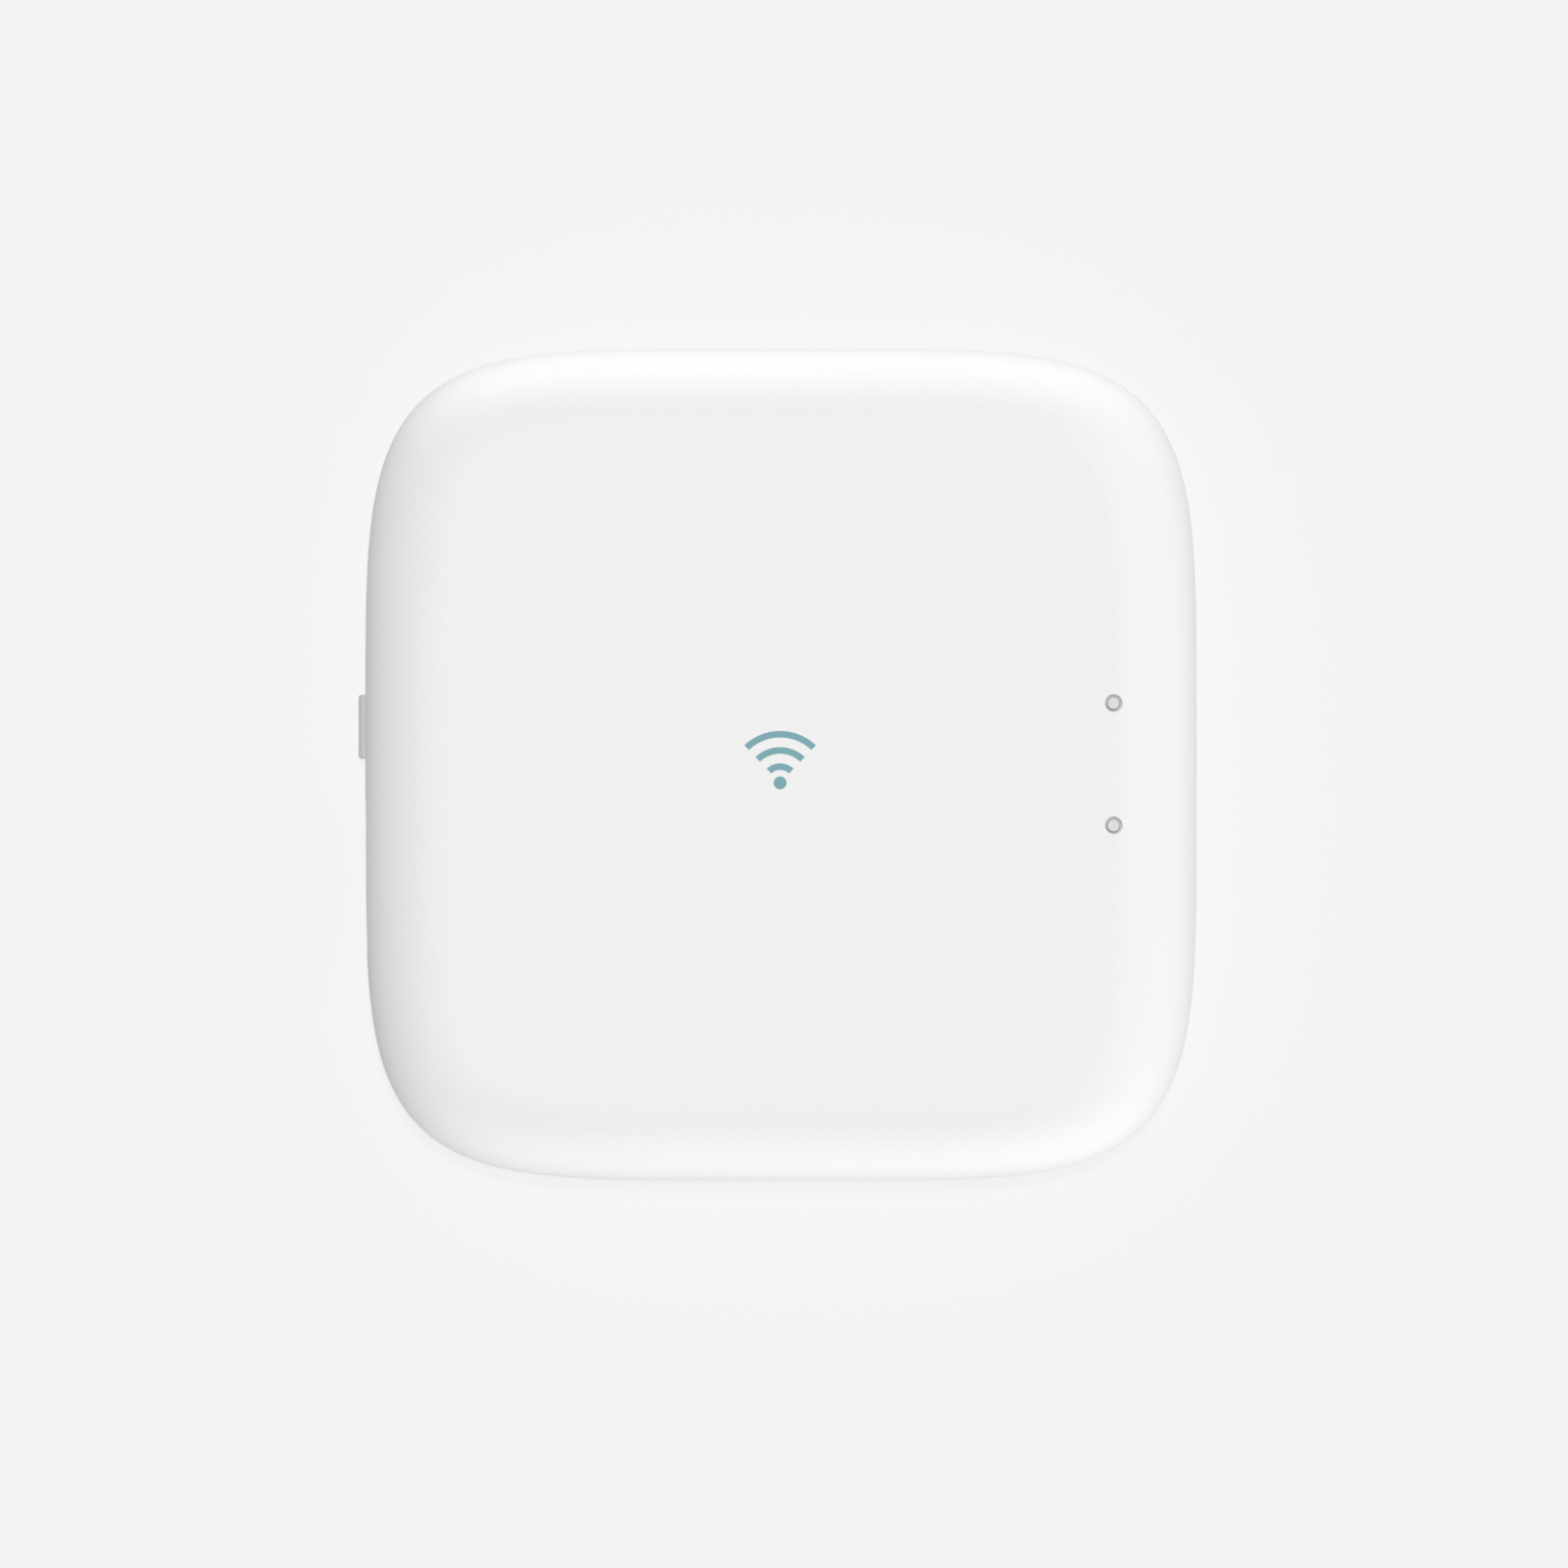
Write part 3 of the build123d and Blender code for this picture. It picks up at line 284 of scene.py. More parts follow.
def grown(piece, tree, values):
    """Runs a Geometry Nodes tree on a piece and keeps the plain mesh that it makes."""
    modifier = piece.modifiers.new(tree.name, "NODES")
    modifier.node_group = tree
    for item in tree.interface.items_tree:
        if item.name in values:
            modifier[item.identifier] = values[item.name]
    return plain(piece)


def tidy_normals(piece):
    """Turns the faces of a closed shape outwards."""
    mesh = bmesh.new()
    mesh.from_mesh(piece.data)
    bmesh.ops.remove_doubles(mesh, verts=mesh.verts, dist=0.0005 * MM)
    bmesh.ops.recalc_face_normals(mesh, faces=mesh.faces)
    mesh.to_mesh(piece.data)
    mesh.free()
    return piece


def quarter(inset, height, radius, start, end, half_width, steps=14):
    """Profile points on an arc, at equal steps between two angles in degrees."""
    return [
        (
            inset + radius * math.cos(math.radians(start + (end - start) * k / steps)),
            height + radius * math.sin(math.radians(start + (end - start) * k / steps)),
            half_width,
        )
        for k in range(steps + 1)
    ]


def swept(name, profile):
    """A closed shape with the hub's outline and this profile."""
    links = [(k, k + 1) for k in range(len(profile) - 1)]
    values = {"Squareness": squareness, "Segments": outline_segments, "Material": shell_abs}
    return tidy_normals(grown(new_object(name, profile, links), rounded_square_shell, values))


def rounded_outline(x, y, size_x, size_y, corner, steps=10):
    """Points round a rounded rectangle. A corner of half its height makes a slot or a circle."""
    points = []
    for turn, (side_x, side_y) in enumerate(((1, 1), (-1, 1), (-1, -1), (1, -1))):
        for step in range(steps + 1):
            angle = math.pi / 2 * (turn + step / steps)
            points.append(
                (
                    x + side_x * (size_x / 2 - corner) + corner * math.cos(angle),
                    y + side_y * (size_y / 2 - corner) + corner * math.sin(angle),
                )
            )
    return points


def disc_outline(x, y, radius):
    """Points round a circle."""
    return [
        (x + radius * math.cos(math.pi * k / 24), y + radius * math.sin(math.pi * k / 24))
        for k in range(48)
    ]


def prisms(name, outlines, low, high, axis="Z"):
    """A closed solid for each outline, between two places along Z or X."""
    vertices, faces = [], []
    for outline in outlines:
        first, count = len(vertices), len(outline)
        for end in (low, high):
            for u, v in outline:
                vertices.append((u, v, end) if axis == "Z" else (end, u, v))
        faces.append([first + k for k in reversed(range(count))])
        faces.append([first + count + k for k in range(count)])
        for k in range(count):
            after = (k + 1) % count
            faces.append([first + k, first + after, first + count + after, first + count + k])
    return tidy_normals(new_object(name, vertices, (), faces))


def combine(piece, tool, operation):
    """Joins a closed tool to a piece, or cuts the piece with it, and removes the tool."""
    modifier = piece.modifiers.new("Boolean", "BOOLEAN")
    modifier.solver = "MANIFOLD"
    modifier.operation = operation
    modifier.object = tool
    plain(piece)
    bpy.data.objects.remove(tool)
    return piece


def shaded(piece, material):
    """Smooth curved faces, crisp edges over 30 degrees, flat faces that stay flat."""
    piece.data.materials.clear()
    piece.data.materials.append(material)
    for polygon in piece.data.polygons:
        polygon.material_index = 0
        polygon.use_smooth = True
    piece.data.set_sharp_from_angle(angle=math.radians(30))
    modifier = piece.modifiers.new("Weighted normals", "WEIGHTED_NORMAL")
    modifier.keep_sharp = True
    return plain(piece)


z_floor = z_case + case_floor
case_profile = quarter(bottom_round, z_case + bottom_round, bottom_round, -90, -180, half)
case_profile += [
    (0, z_seam - reveal_height, half),
    (0, z_seam - reveal_height, half - reveal_depth),
    (0, z_seam, half - reveal_depth),
    (0, z_seam, inner_half + lip_thickness),
    (0, z_seam + lip_height - lip_chamfer, inner_half + lip_thickness),
    (lip_chamfer, z_seam + lip_height, inner_half + lip_thickness),
    (0, z_seam + lip_height, inner_half),
]
inner_round = bottom_round - case_floor
case_profile += quarter(inner_round, z_floor + inner_round, inner_round, 180, 270, inner_half)
case = swept("case", case_profile)

feet = [f"foot_{name}" for name in ("front_left", "rear_left", "front_right", "rear_right")]
foot_boxes = [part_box(foot) for foot in feet]
posts = [((low + high) / 2 / MM).to_2d() for low, high in foot_boxes]
foot_radius = (foot_boxes[0][1].x - foot_boxes[0][0].x) / 2 / MM
foot_top = foot_boxes[0][1].z / MM
screw_low, screw_high = [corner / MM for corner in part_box("board_screws")]
board_screw_head, case_screw_head = 1.9, 2.3
post_radius = 3.5
standoff_radius = 2.5
board_pilot_radius, board_pilot_depth = 0.8, 3.6
foot_play = 0.2
case_seat_radius, case_seat_depth = 2.5, 1.6
case_hole_radius = 1.5
board_holes = [
    (x, y)
    for x in (screw_low.x + board_screw_head, screw_high.x - board_screw_head)
    for y in (screw_low.y + board_screw_head, screw_high.y - board_screw_head)
]
post_outlines = [disc_outline(x, y, post_radius) for x, y in posts]
combine(case, prisms("posts", post_outlines, z_floor - 1, z_seam - 1), "UNION")
standoff_outlines = [disc_outline(x, y, standoff_radius) for x, y in board_holes]
combine(case, prisms("standoffs", standoff_outlines, z_floor - 1, z_board), "UNION")
pilot_outlines = [disc_outline(x, y, board_pilot_radius) for x, y in board_holes]
combine(case, prisms("pilots", pilot_outlines, z_board - board_pilot_depth, z_board + 1), "DIFFERENCE")
recess_outlines = [disc_outline(x, y, foot_radius + foot_play) for x, y in posts]
combine(case, prisms("foot_recesses", recess_outlines, z_case - 1, foot_top), "DIFFERENCE")
seat_outlines = [disc_outline(x, y, case_seat_radius) for x, y in posts]
combine(case, prisms("screw_seats", seat_outlines, z_case - 1, z_floor + case_seat_depth), "DIFFERENCE")
clearance_outlines = [disc_outline(x, y, case_hole_radius) for x, y in posts]
combine(case, prisms("screw_holes", clearance_outlines, z_case - 1, z_seam + 1), "DIFFERENCE")

label_low, label_high = [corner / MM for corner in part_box("blank_label")]
label_size = label_high - label_low
label_play, label_corner, label_depth = 0.2, 1.2, 0.3
label_length, label_width = label_size.x + 2 * label_play, label_size.y + 2 * label_play
label_recess = rounded_outline(0, 0, label_length, label_width, label_corner)
label_cut = prisms("label_recess", [label_recess], z_case - 1, z_case + label_depth)
combine(case, label_cut, "DIFFERENCE")

keyhole_spacing = 30.0
keyhole_y = half - 15.5
keyhole_entry_radius = 3.6
keyhole_slot_length, keyhole_slot_width = 9.3, 3.8
keyhole_slot_y = keyhole_y + (keyhole_slot_length - keyhole_slot_width) / 2
for x in (-keyhole_spacing / 2, keyhole_spacing / 2):
    entry = disc_outline(x, keyhole_y, keyhole_entry_radius)
    combine(case, prisms("keyhole_entry", [entry], z_case - 1, z_floor + 1), "DIFFERENCE")
    round_end = keyhole_slot_width / 2
    slot = rounded_outline(x, keyhole_slot_y, keyhole_slot_width, keyhole_slot_length, round_end)
    combine(case, prisms("keyhole_slot", [slot], z_case - 1, z_floor + 1), "DIFFERENCE")


def slot_rows_tree():
    """Two rows of slots with round ends, as closed solids that cut the vents."""
    tree = bpy.data.node_groups.new("Rows of vent slots", "GeometryNodeTree")
    for name, kind in (
        ("Geometry", "NodeSocketGeometry"),
        ("Slots", "NodeSocketInt"),
        ("Pitch", "NodeSocketFloat"),
        ("Row Spacing", "NodeSocketFloat"),
        ("Slot Width", "NodeSocketFloat"),
        ("Slot Length", "NodeSocketFloat"),
        ("Low", "NodeSocketFloat"),
        ("Depth", "NodeSocketFloat"),
        ("Material", "NodeSocketMaterial"),
    ):
        tree.interface.new_socket(name, in_out="INPUT", socket_type=kind)
    tree.interface.new_socket("Slots", in_out="OUTPUT", socket_type="NodeSocketGeometry")
    given = add_node(tree, "NodeGroupInput").outputs
    gaps = add_node(tree, "ShaderNodeMath", {0: given["Slots"], 1: 1.0}, operation="SUBTRACT")
    run = add_node(tree, "ShaderNodeMath", {0: gaps, 1: given["Pitch"]}, operation="MULTIPLY")
    places = add_node(
        tree,
        "GeometryNodeMeshGrid",
        {"Size X": run, "Size Y": given["Row Spacing"], 2: given["Slots"], 3: 2},
    ).outputs["Mesh"]
    oblong = add_node(
        tree,
        "GeometryNodeCurvePrimitiveQuadrilateral",
        {0: given["Slot Width"], 1: given["Slot Length"]},
    )
    end = add_node(tree, "ShaderNodeMath", {0: given["Slot Width"], 1: 0.4999}, operation="MULTIPLY")
    rounded = add_node(tree, "GeometryNodeFilletCurve", {"Curve": oblong, "Radius": end}, mode="POLY")
    rounded.inputs["Count"].default_value = 7
    base = add_node(tree, "GeometryNodeFillCurve", {0: rounded}, mode="NGONS")
    up = add_node(tree, "ShaderNodeCombineXYZ", {2: given["Depth"]})
    raised = add_node(tree, "GeometryNodeExtrudeMesh", {"Mesh": base, "Offset": up})
    raised.inputs["Individual"].default_value = False
    under = add_node(tree, "GeometryNodeFlipFaces", {0: base})
    joined = add_node(tree, "GeometryNodeJoinGeometry")
    wire(tree, joined, {0: raised.outputs["Mesh"]})
    wire(tree, joined, {0: under})
    closed = add_node(tree, "GeometryNodeMergeByDistance", {0: joined, "Distance": 0.001 * MM})
    spread = add_node(tree, "GeometryNodeInstanceOnPoints", {0: places, "Instance": closed})
    low = add_node(tree, "ShaderNodeCombineXYZ", {2: given["Low"]})
    lowered = add_node(tree, "GeometryNodeTransform", {0: spread, "Translation": low})
    real = add_node(tree, "GeometryNodeRealizeInstances", {0: lowered})
    painted = add_node(tree, "GeometryNodeSetMaterial", {"Geometry": real, "Material": given["Material"]})
    add_node(tree, "NodeGroupOutput", {0: painted})
    return tree


vents = grown(
    new_object("vents", []),
    slot_rows_tree(),
    {
        "Slots": 10,
        "Pitch": 4.0 * MM,
        "Row Spacing": 36.0 * MM,
        "Slot Width": 1.5 * MM,
        "Slot Length": 8.0 * MM,
        "Low": (z_case - 1) * MM,
        "Depth": 4.0 * MM,
        "Material": shell_abs,
    },
)
combine(case, tidy_normals(vents), "DIFFERENCE")

insert_low, insert_high = [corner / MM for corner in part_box("ethernet_insert")]
power_low, power_high = [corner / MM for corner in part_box("power_insert")]
key_low, key_high = [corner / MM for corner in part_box("function_key")]


def opening(low, high, margin, corner):
    """The outline, in Y and Z, of a socket-side opening round a box plus a margin."""
    middle = (low + high) / 2
    size = high - low
    width, height = size.y + 2 * margin, size.z + 2 * margin
    return rounded_outline(middle.y, middle.z, width, height, min(corner, height / 2))


side_openings = [
    opening(insert_low, insert_high, 0.55, 0.25),
    opening(power_low, power_high, 0.6, 9.0),
    opening(key_low, key_high, -0.65, 1.05),
]
x_opening_end = -half + wall + bottom_round - case_floor
side_bars = (-half - 1, x_opening_end, "X")
combine(case, prisms("side_openings", side_openings, *side_bars), "DIFFERENCE")
shaded(case, shell_abs)
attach(case, "housing")
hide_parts("bottom_case")

# ========================================
# Circuit board. Glass-epoxy laminate, 1.6 mm thick, routed round a notch for the network socket.
# Green solder mask covers the copper tracks, which show through as lighter lines, and the sawn
# edges show the pale laminate. Four screws hold it on the standoffs.
# ========================================
def laminate(name, mask, track, track_pitch, via_size):
    """Glass epoxy under a glossy solder mask, with tracks a pitch apart in millimetres."""
    material, tree, shader = grained(name, mask, mask, 0.4, 0.36, 0.004)
    place = add_node(tree, "ShaderNodeTexCoord").outputs["Object"]
    turned = add_node(tree, "ShaderNodeMapping", {"Vector": place, "Rotation": (0.0, 0.0, math.pi / 2)})
    lines = []
    for vector in (place, turned):
        lines.append(
            add_node(
                tree,
                "ShaderNodeTexBrick",
                {
                    "Vector": vector,
                    "Color1": (0.0, 0.0, 0.0, 1.0),
                    "Color2": (0.0, 0.0, 0.0, 1.0),
                    "Mortar": (1.0, 1.0, 1.0, 1.0),
                    "Scale": per_metre(track_pitch),
                    "Mortar Size": 0.1,
                    "Mortar Smooth": 0.3,
                    "Brick Width": 9.0,
                    "Row Height": 1.0,
                },
            )
        )
    regions = add_node(
        tree, "ShaderNodeTexNoise", {"Vector": place, "Scale": per_metre(9), "Detail": 0.0}
    )
    choice = add_node(tree, "ShaderNodeMath", {0: regions, 1: 0.5}, operation="GREATER_THAN")
    tracks = add_node(tree, "ShaderNodeMix", {0: choice, 6: lines[0], 7: lines[1]}, data_type="RGBA")
    dots = add_node(
        tree, "ShaderNodeTexVoronoi", {"Vector": place, "Scale": per_metre(3.2)}
    ).outputs["Distance"]
    via = add_node(tree, "ShaderNodeMath", {0: dots, 1: via_size}, operation="LESS_THAN")
    overlay(tree, shader, tracks, track)
    overlay(tree, shader, via, "#C9B98A")
    facing = add_node(tree, "ShaderNodeNewGeometry").outputs["Normal"]
    upright = add_node(tree, "ShaderNodeSeparateXYZ", {0: facing}).outputs["Z"]
    level = add_node(tree, "ShaderNodeMath", {0: upright}, operation="ABSOLUTE")
    edge = add_node(tree, "ShaderNodeMath", {0: level, 1: 0.5}, operation="LESS_THAN")
    overlay(tree, shader, edge, "#B7A877")
    return material


green_mask = laminate("Glass-epoxy laminate, green mask", "#1B5A36", "#2C7A4B", 0.7, 0.085)
coat_nodes(green_mask, "main_board")


def turned_steel(name, node, head_radius):
    """Zinc-plated steel, with the faint rings that turning leaves round each screw's axis."""
    low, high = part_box(node)
    middle = (low + high) / 2
    arm = (high - low) / 2 - Vector((head_radius, head_radius, 0)) * MM
    material, tree, shader = grained(name, "#B9BBBC", "#A4A6A8", 0.5, 0.34, 0.003)
    shader.inputs["Metallic"].default_value = 1.0
    place = add_node(tree, "ShaderNodeTexCoord").outputs["Object"]
    centred = add_node(tree, "ShaderNodeVectorMath", {0: place, 1: middle}, operation="SUBTRACT")
    folded = add_node(tree, "ShaderNodeVectorMath", {0: centred}, operation="ABSOLUTE")
    about_axis = add_node(
        tree, "ShaderNodeVectorMath", {0: folded, 1: (arm.x, arm.y, 0.0)}, operation="SUBTRACT"
    )
    flat = add_node(
        tree, "ShaderNodeVectorMath", {0: about_axis, 1: (1.0, 1.0, 0.0)}, operation="MULTIPLY"
    )
    away = add_node(tree, "ShaderNodeVectorMath", {0: flat}, operation="LENGTH").outputs["Value"]
    # Tool marks are 0.05 mm apart in life. They are drawn 0.16 mm apart, or they wouldn't show.
    rings = add_node(
        tree, "ShaderNodeMath", {0: away, 1: 2 * math.pi * per_metre(0.16)}, operation="MULTIPLY"
    )
    wave = add_node(tree, "ShaderNodeMath", {0: rings}, operation="SINE")
    bump = add_node(tree, "ShaderNodeBump", {"Strength": 0.4, "Distance": 0.006 * MM, "Height": wave})
    wire(tree, shader, {"Normal": bump})
    coat_nodes(material, node)


turned_steel("Zinc-plated steel, board screws", "board_screws", board_screw_head)

# ========================================
# Network socket. A folded shield of tin-plated brass round a black nylon insert, and eight
# gold-plated spring contacts that run under the plug and out at the back into the board.
# ========================================
# Tin plating is grey-white and a little cloudy, with rolling lines along the strip.
tinned_brass, _, tin_shader = grained(
    "Tin-plated brass sheet", "#D5D5D2", "#BDBDBA", 0.25, 0.33, 0.004, (0.15, 1.0, 1.0)
)
tin_shader.inputs["Metallic"].default_value = 1.0
# Glass-filled nylon is dark grey-black with a dull skin where fibres come near the surface.
black_nylon = grained("Black glass-filled nylon", "#1B1B1D", "#2A2A2C", 0.22, 0.5, 0.01)[0]
# Thin gold over nickel keeps the bright, slightly streaked surface of the wire under it.
gold_plate, _, gold_shader = grained(
    "Gold-plated spring wire", "#E2BE72", "#CFA657", 0.2, 0.22, 0.002, (0.1, 1.0, 1.0)
)
gold_shader.inputs["Metallic"].default_value = 1.0
coat_nodes(tinned_brass, "ethernet_shield")
coat_nodes(black_nylon, "ethernet_insert")
coat_nodes(gold_plate, "ethernet_contacts")

# ========================================
# Power socket. A seamless stainless shell drawn from sheet, with a black insert whose tongue
# carries the contacts in its middle. Its legs go through the board.
# ========================================
# Drawn stainless steel is a warm grey with fine scratches along the draw.
drawn_steel, _, drawn_shader = grained(
    "Drawn stainless steel", "#C4C3C0", "#A9A8A6", 0.18, 0.3, 0.004, (0.08, 1.0, 1.0)
)
drawn_shader.inputs["Metallic"].default_value = 1.0
coat_nodes(drawn_steel, "power_shell")
coat_nodes(black_nylon, "power_insert")
coat_nodes(gold_plate, "power_contacts")

# ========================================
# Chips. Epoxy packages pressed round their silicon, with matt tops and a moulded spot at pin 1,
# on leads of tinned copper that were trimmed and bent by the same tool.
# ========================================
# Moulding epoxy is filled with ground silica, which leaves a dull black with paler specks.
mould_epoxy = grained("Silica-filled moulding epoxy", "#1F1F21", "#323234", 0.16, 0.6, 0.012)[0]
# Dipped tin on copper leads is bright and uneven.
tinned_copper, _, lead_shader = grained("Tinned copper leads", "#DEDDD8", "#C2C1BC", 0.3, 0.26, 0.004)
lead_shader.inputs["Metallic"].default_value = 1.0
chips = ("processor", "memory", "flash", "magnetics", "regulator")
coat_nodes(mould_epoxy, *[f"{chip}_chip" for chip in chips])
coat_nodes(tinned_copper, *[f"{chip}_leads" for chip in chips])

# ========================================
# Crystal, power coil and capacitor cans. A nickel-silver can with a welded rim, a pressed ferrite
# block, and two aluminium cans on black bases, each with the dark segment that marks its minus side.
# ========================================
# Nickel silver pressed from sheet: pale, with a soft brushed gloss.
nickel_silver, _, nickel_shader = grained(
    "Nickel-silver can", "#D8D7D1", "#C3C2BC", 0.3, 0.28, 0.003, (0.1, 1.0, 1.0)
)
nickel_shader.inputs["Metallic"].default_value = 1.0
coat_nodes(nickel_silver, "crystal")
# Ferrite is a pressed and fired powder, charcoal grey and finely porous.
ferrite = grained("Pressed ferrite", "#36373A", "#4A4B4E", 0.14, 0.7, 0.02)[0]
coat_nodes(ferrite, "power_coil")
coat_nodes(black_nylon, "capacitor_bases")
# Drawn aluminium has a satin top, and the printed segment covers 1.3 mm of it on the minus side.
segment_width, segment_depth = 1.3, 0.02
can_low, can_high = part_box("capacitor_cans")
can_width = can_high.y - can_low.y
can_pitch = can_high.x - can_low.x - can_width
aluminium, can_nodes, can_shader = grained(
    "Drawn aluminium can, printed segment", "#DADBDD", "#C4C6C9", 0.25, 0.3, 0.004
)
can_place = add_node(can_nodes, "ShaderNodeTexCoord").outputs["Object"]
can_x, _, can_z = add_node(can_nodes, "ShaderNodeSeparateXYZ", {0: can_place}).outputs
along_row = add_node(can_nodes, "ShaderNodeMath", {0: can_x, 1: can_low.x}, operation="SUBTRACT")
within_can = add_node(can_nodes, "ShaderNodeMath", {0: along_row, 1: can_pitch}, operation="MODULO")
minus_side = add_node(
    can_nodes, "ShaderNodeMath", {0: within_can, 1: segment_width * MM}, operation="LESS_THAN"
)
on_top = add_node(
    can_nodes, "ShaderNodeMath", {0: can_z, 1: can_high.z - segment_depth * MM}, operation="GREATER_THAN"
)
printed = add_node(can_nodes, "ShaderNodeMath", {0: minus_side, 1: on_top}, operation="MULTIPLY")
overlay(can_nodes, can_shader, printed, "#232326")
metal_share = add_node(can_nodes, "ShaderNodeMath", {0: 1.0, 1: printed}, operation="SUBTRACT")
wire(can_nodes, can_shader, {"Metallic": metal_share})
coat_nodes(aluminium, "capacitor_cans")


# ========================================
# Chip capacitors and resistors. Fired ceramic bricks 1.6 mm long, soldered in rows by the silver
# caps on their ends: tan bodies for the capacitors, white bodies under black glaze for resistors.
# ========================================
def chip_row_tree():
    """A brick with two end caps at each point."""
    tree = bpy.data.node_groups.new("Rows of chip parts", "GeometryNodeTree")
    for name, kind in (
        ("Places", "NodeSocketGeometry"),
        ("Length", "NodeSocketFloat"),
        ("Width", "NodeSocketFloat"),
        ("Height", "NodeSocketFloat"),
        ("Cap", "NodeSocketFloat"),
        ("Body Material", "NodeSocketMaterial"),
        ("Cap Material", "NodeSocketMaterial"),
    ):
        tree.interface.new_socket(name, in_out="INPUT", socket_type=kind)
    tree.interface.new_socket("Parts", in_out="OUTPUT", socket_type="NodeSocketGeometry")
    given = add_node(tree, "NodeGroupInput").outputs
    caps = add_node(tree, "ShaderNodeMath", {0: given["Cap"], 1: 2.0}, operation="MULTIPLY")
    between = add_node(tree, "ShaderNodeMath", {0: given["Length"], 1: caps}, operation="SUBTRACT")
    thinner = add_node(tree, "ShaderNodeMath", {0: given["Width"], 1: 0.94}, operation="MULTIPLY")
    lower = add_node(tree, "ShaderNodeMath", {0: given["Height"], 1: 0.94}, operation="MULTIPLY")
    body_size = add_node(tree, "ShaderNodeCombineXYZ", {0: thinner, 1: between, 2: lower})
    cap_size = add_node(
        tree,
        "ShaderNodeCombineXYZ",
        {0: given["Width"], 1: given["Cap"], 2: given["Height"]},
    )
    body = add_node(tree, "GeometryNodeMeshCube", {"Size": body_size}).outputs["Mesh"]
    cap = add_node(tree, "GeometryNodeMeshCube", {"Size": cap_size}).outputs["Mesh"]
    marked = add_node(
        tree,
        "GeometryNodeStoreNamedAttribute",
        {"Geometry": cap, "Name": "end_cap", "Value": True},
        data_type="BOOLEAN",
        domain="FACE",
    )
    apart = add_node(tree, "ShaderNodeMath", {0: given["Length"], 1: given["Cap"]}, operation="SUBTRACT")
    out = add_node(tree, "ShaderNodeMath", {0: apart, 1: 0.5}, operation="MULTIPLY")
    back = add_node(tree, "ShaderNodeMath", {0: apart, 1: -0.5}, operation="MULTIPLY")
    part = add_node(tree, "GeometryNodeJoinGeometry")
    wire(tree, part, {0: body})
    for reach_along in (out, back):
        shift = add_node(tree, "ShaderNodeCombineXYZ", {1: reach_along})
        moved = add_node(tree, "GeometryNodeTransform", {0: marked, "Translation": shift})
        wire(tree, part, {0: moved})
    spread = add_node(tree, "GeometryNodeInstanceOnPoints", {0: given["Places"], "Instance": part})
    real = add_node(tree, "GeometryNodeRealizeInstances", {0: spread})
    bodies = add_node(
        tree, "GeometryNodeSetMaterial", {"Geometry": real, "Material": given["Body Material"]}
    )
    is_cap = add_node(
        tree, "GeometryNodeInputNamedAttribute", {"Name": "end_cap"}, data_type="BOOLEAN"
    ).outputs[0]
    capped = add_node(
        tree,
        "GeometryNodeSetMaterial",
        {"Geometry": bodies, "Selection": is_cap, "Material": given["Cap Material"]},
    )
    add_node(tree, "NodeGroupOutput", {0: capped})
    return tree


def part_centres(node):
    """The middles, in millimetres, of the separate solids in a CAD node."""
    mesh = bmesh.new()
    mesh.from_mesh(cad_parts[node].data)
    bmesh.ops.remove_doubles(mesh, verts=mesh.verts, dist=0.0001 * MM)
    left, centres = set(mesh.verts), []
    while left:
        found = [left.pop()]
        for vertex in found:
            for link in vertex.link_edges:
                other = link.other_vert(vertex)
                if other in left:
                    left.remove(other)
                    found.append(other)
        places = [vertex.co for vertex in found]
        low = Vector([min(place[axis] for place in places) for axis in range(3)])
        high = Vector([max(place[axis] for place in places) for axis in range(3)])
        centres.append((low + high) / 2 / MM)
    mesh.free()
    return centres


chip_rows = chip_row_tree()
# Fired barium titanate is a matt tan; the alumina of a resistor hides under a black glaze.
tan_ceramic = grained("Fired tan ceramic", "#A98C68", "#94785A", 0.2, 0.55, 0.008)[0]
black_glaze = grained("Black resistor glaze", "#19191B", "#27272A", 0.3, 0.3, 0.004)[0]
for node, body_material, slot_name in (
    ("ceramic_capacitors", tan_ceramic, "ceramic"),
    ("resistors", black_glaze, "ceramic"),
):
    low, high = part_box(node)
    bricks = grown(
        new_object(f"{node}_row", part_centres(node)),
        chip_rows,
        {
            "Length": 1.6 * MM,
            "Width": 0.8 * MM,
            "Height": high.z - low.z,
            "Cap": 0.35 * MM,
            "Body Material": body_material,
            "Cap Material": tinned_copper,
        },
    )
    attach(bricks, "housing")
    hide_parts(node)

# ========================================
# Radio module. A thin daughter board soldered by half-holes along its edges, a nickel-plated can
# pressed over its chip, and an aerial printed as a folded strip at the end that is kept clear.
# ========================================
dark_mask = laminate("Thin laminate, dark mask", "#16442C", "#22593C", 0.5, 0.0)
coat_nodes(dark_mask, "radio_board")
# Nickel plate on thin steel: bright, with the waviness of a pressed lid.
nickel_plate, _, plate_shader = grained("Nickel-plated steel can", "#CFCECA", "#B9B8B4", 1.6, 0.3, 0.02)
plate_shader.inputs["Metallic"].default_value = 1.0
coat_nodes(nickel_plate, "radio_can")
coat_nodes(mould_epoxy, "radio_chip")
# Copper track with a thin gold flash, which stays bright and a little orange.
aerial_copper, _, aerial_shader = grained(
    "Gold-flashed copper track", "#DDA870", "#C8915B", 0.2, 0.28, 0.003
)
aerial_shader.inputs["Metallic"].default_value = 1.0
coat_nodes(aerial_copper, "radio_antenna")

# ========================================
# Side-push switch. A black moulded base, a stainless plate folded over it, a plunger, and the
# snap dome inside that gives the click.
# ========================================
coat_nodes(black_nylon, "switch_base")
coat_nodes(drawn_steel, "switch_plate", "switch_dome")
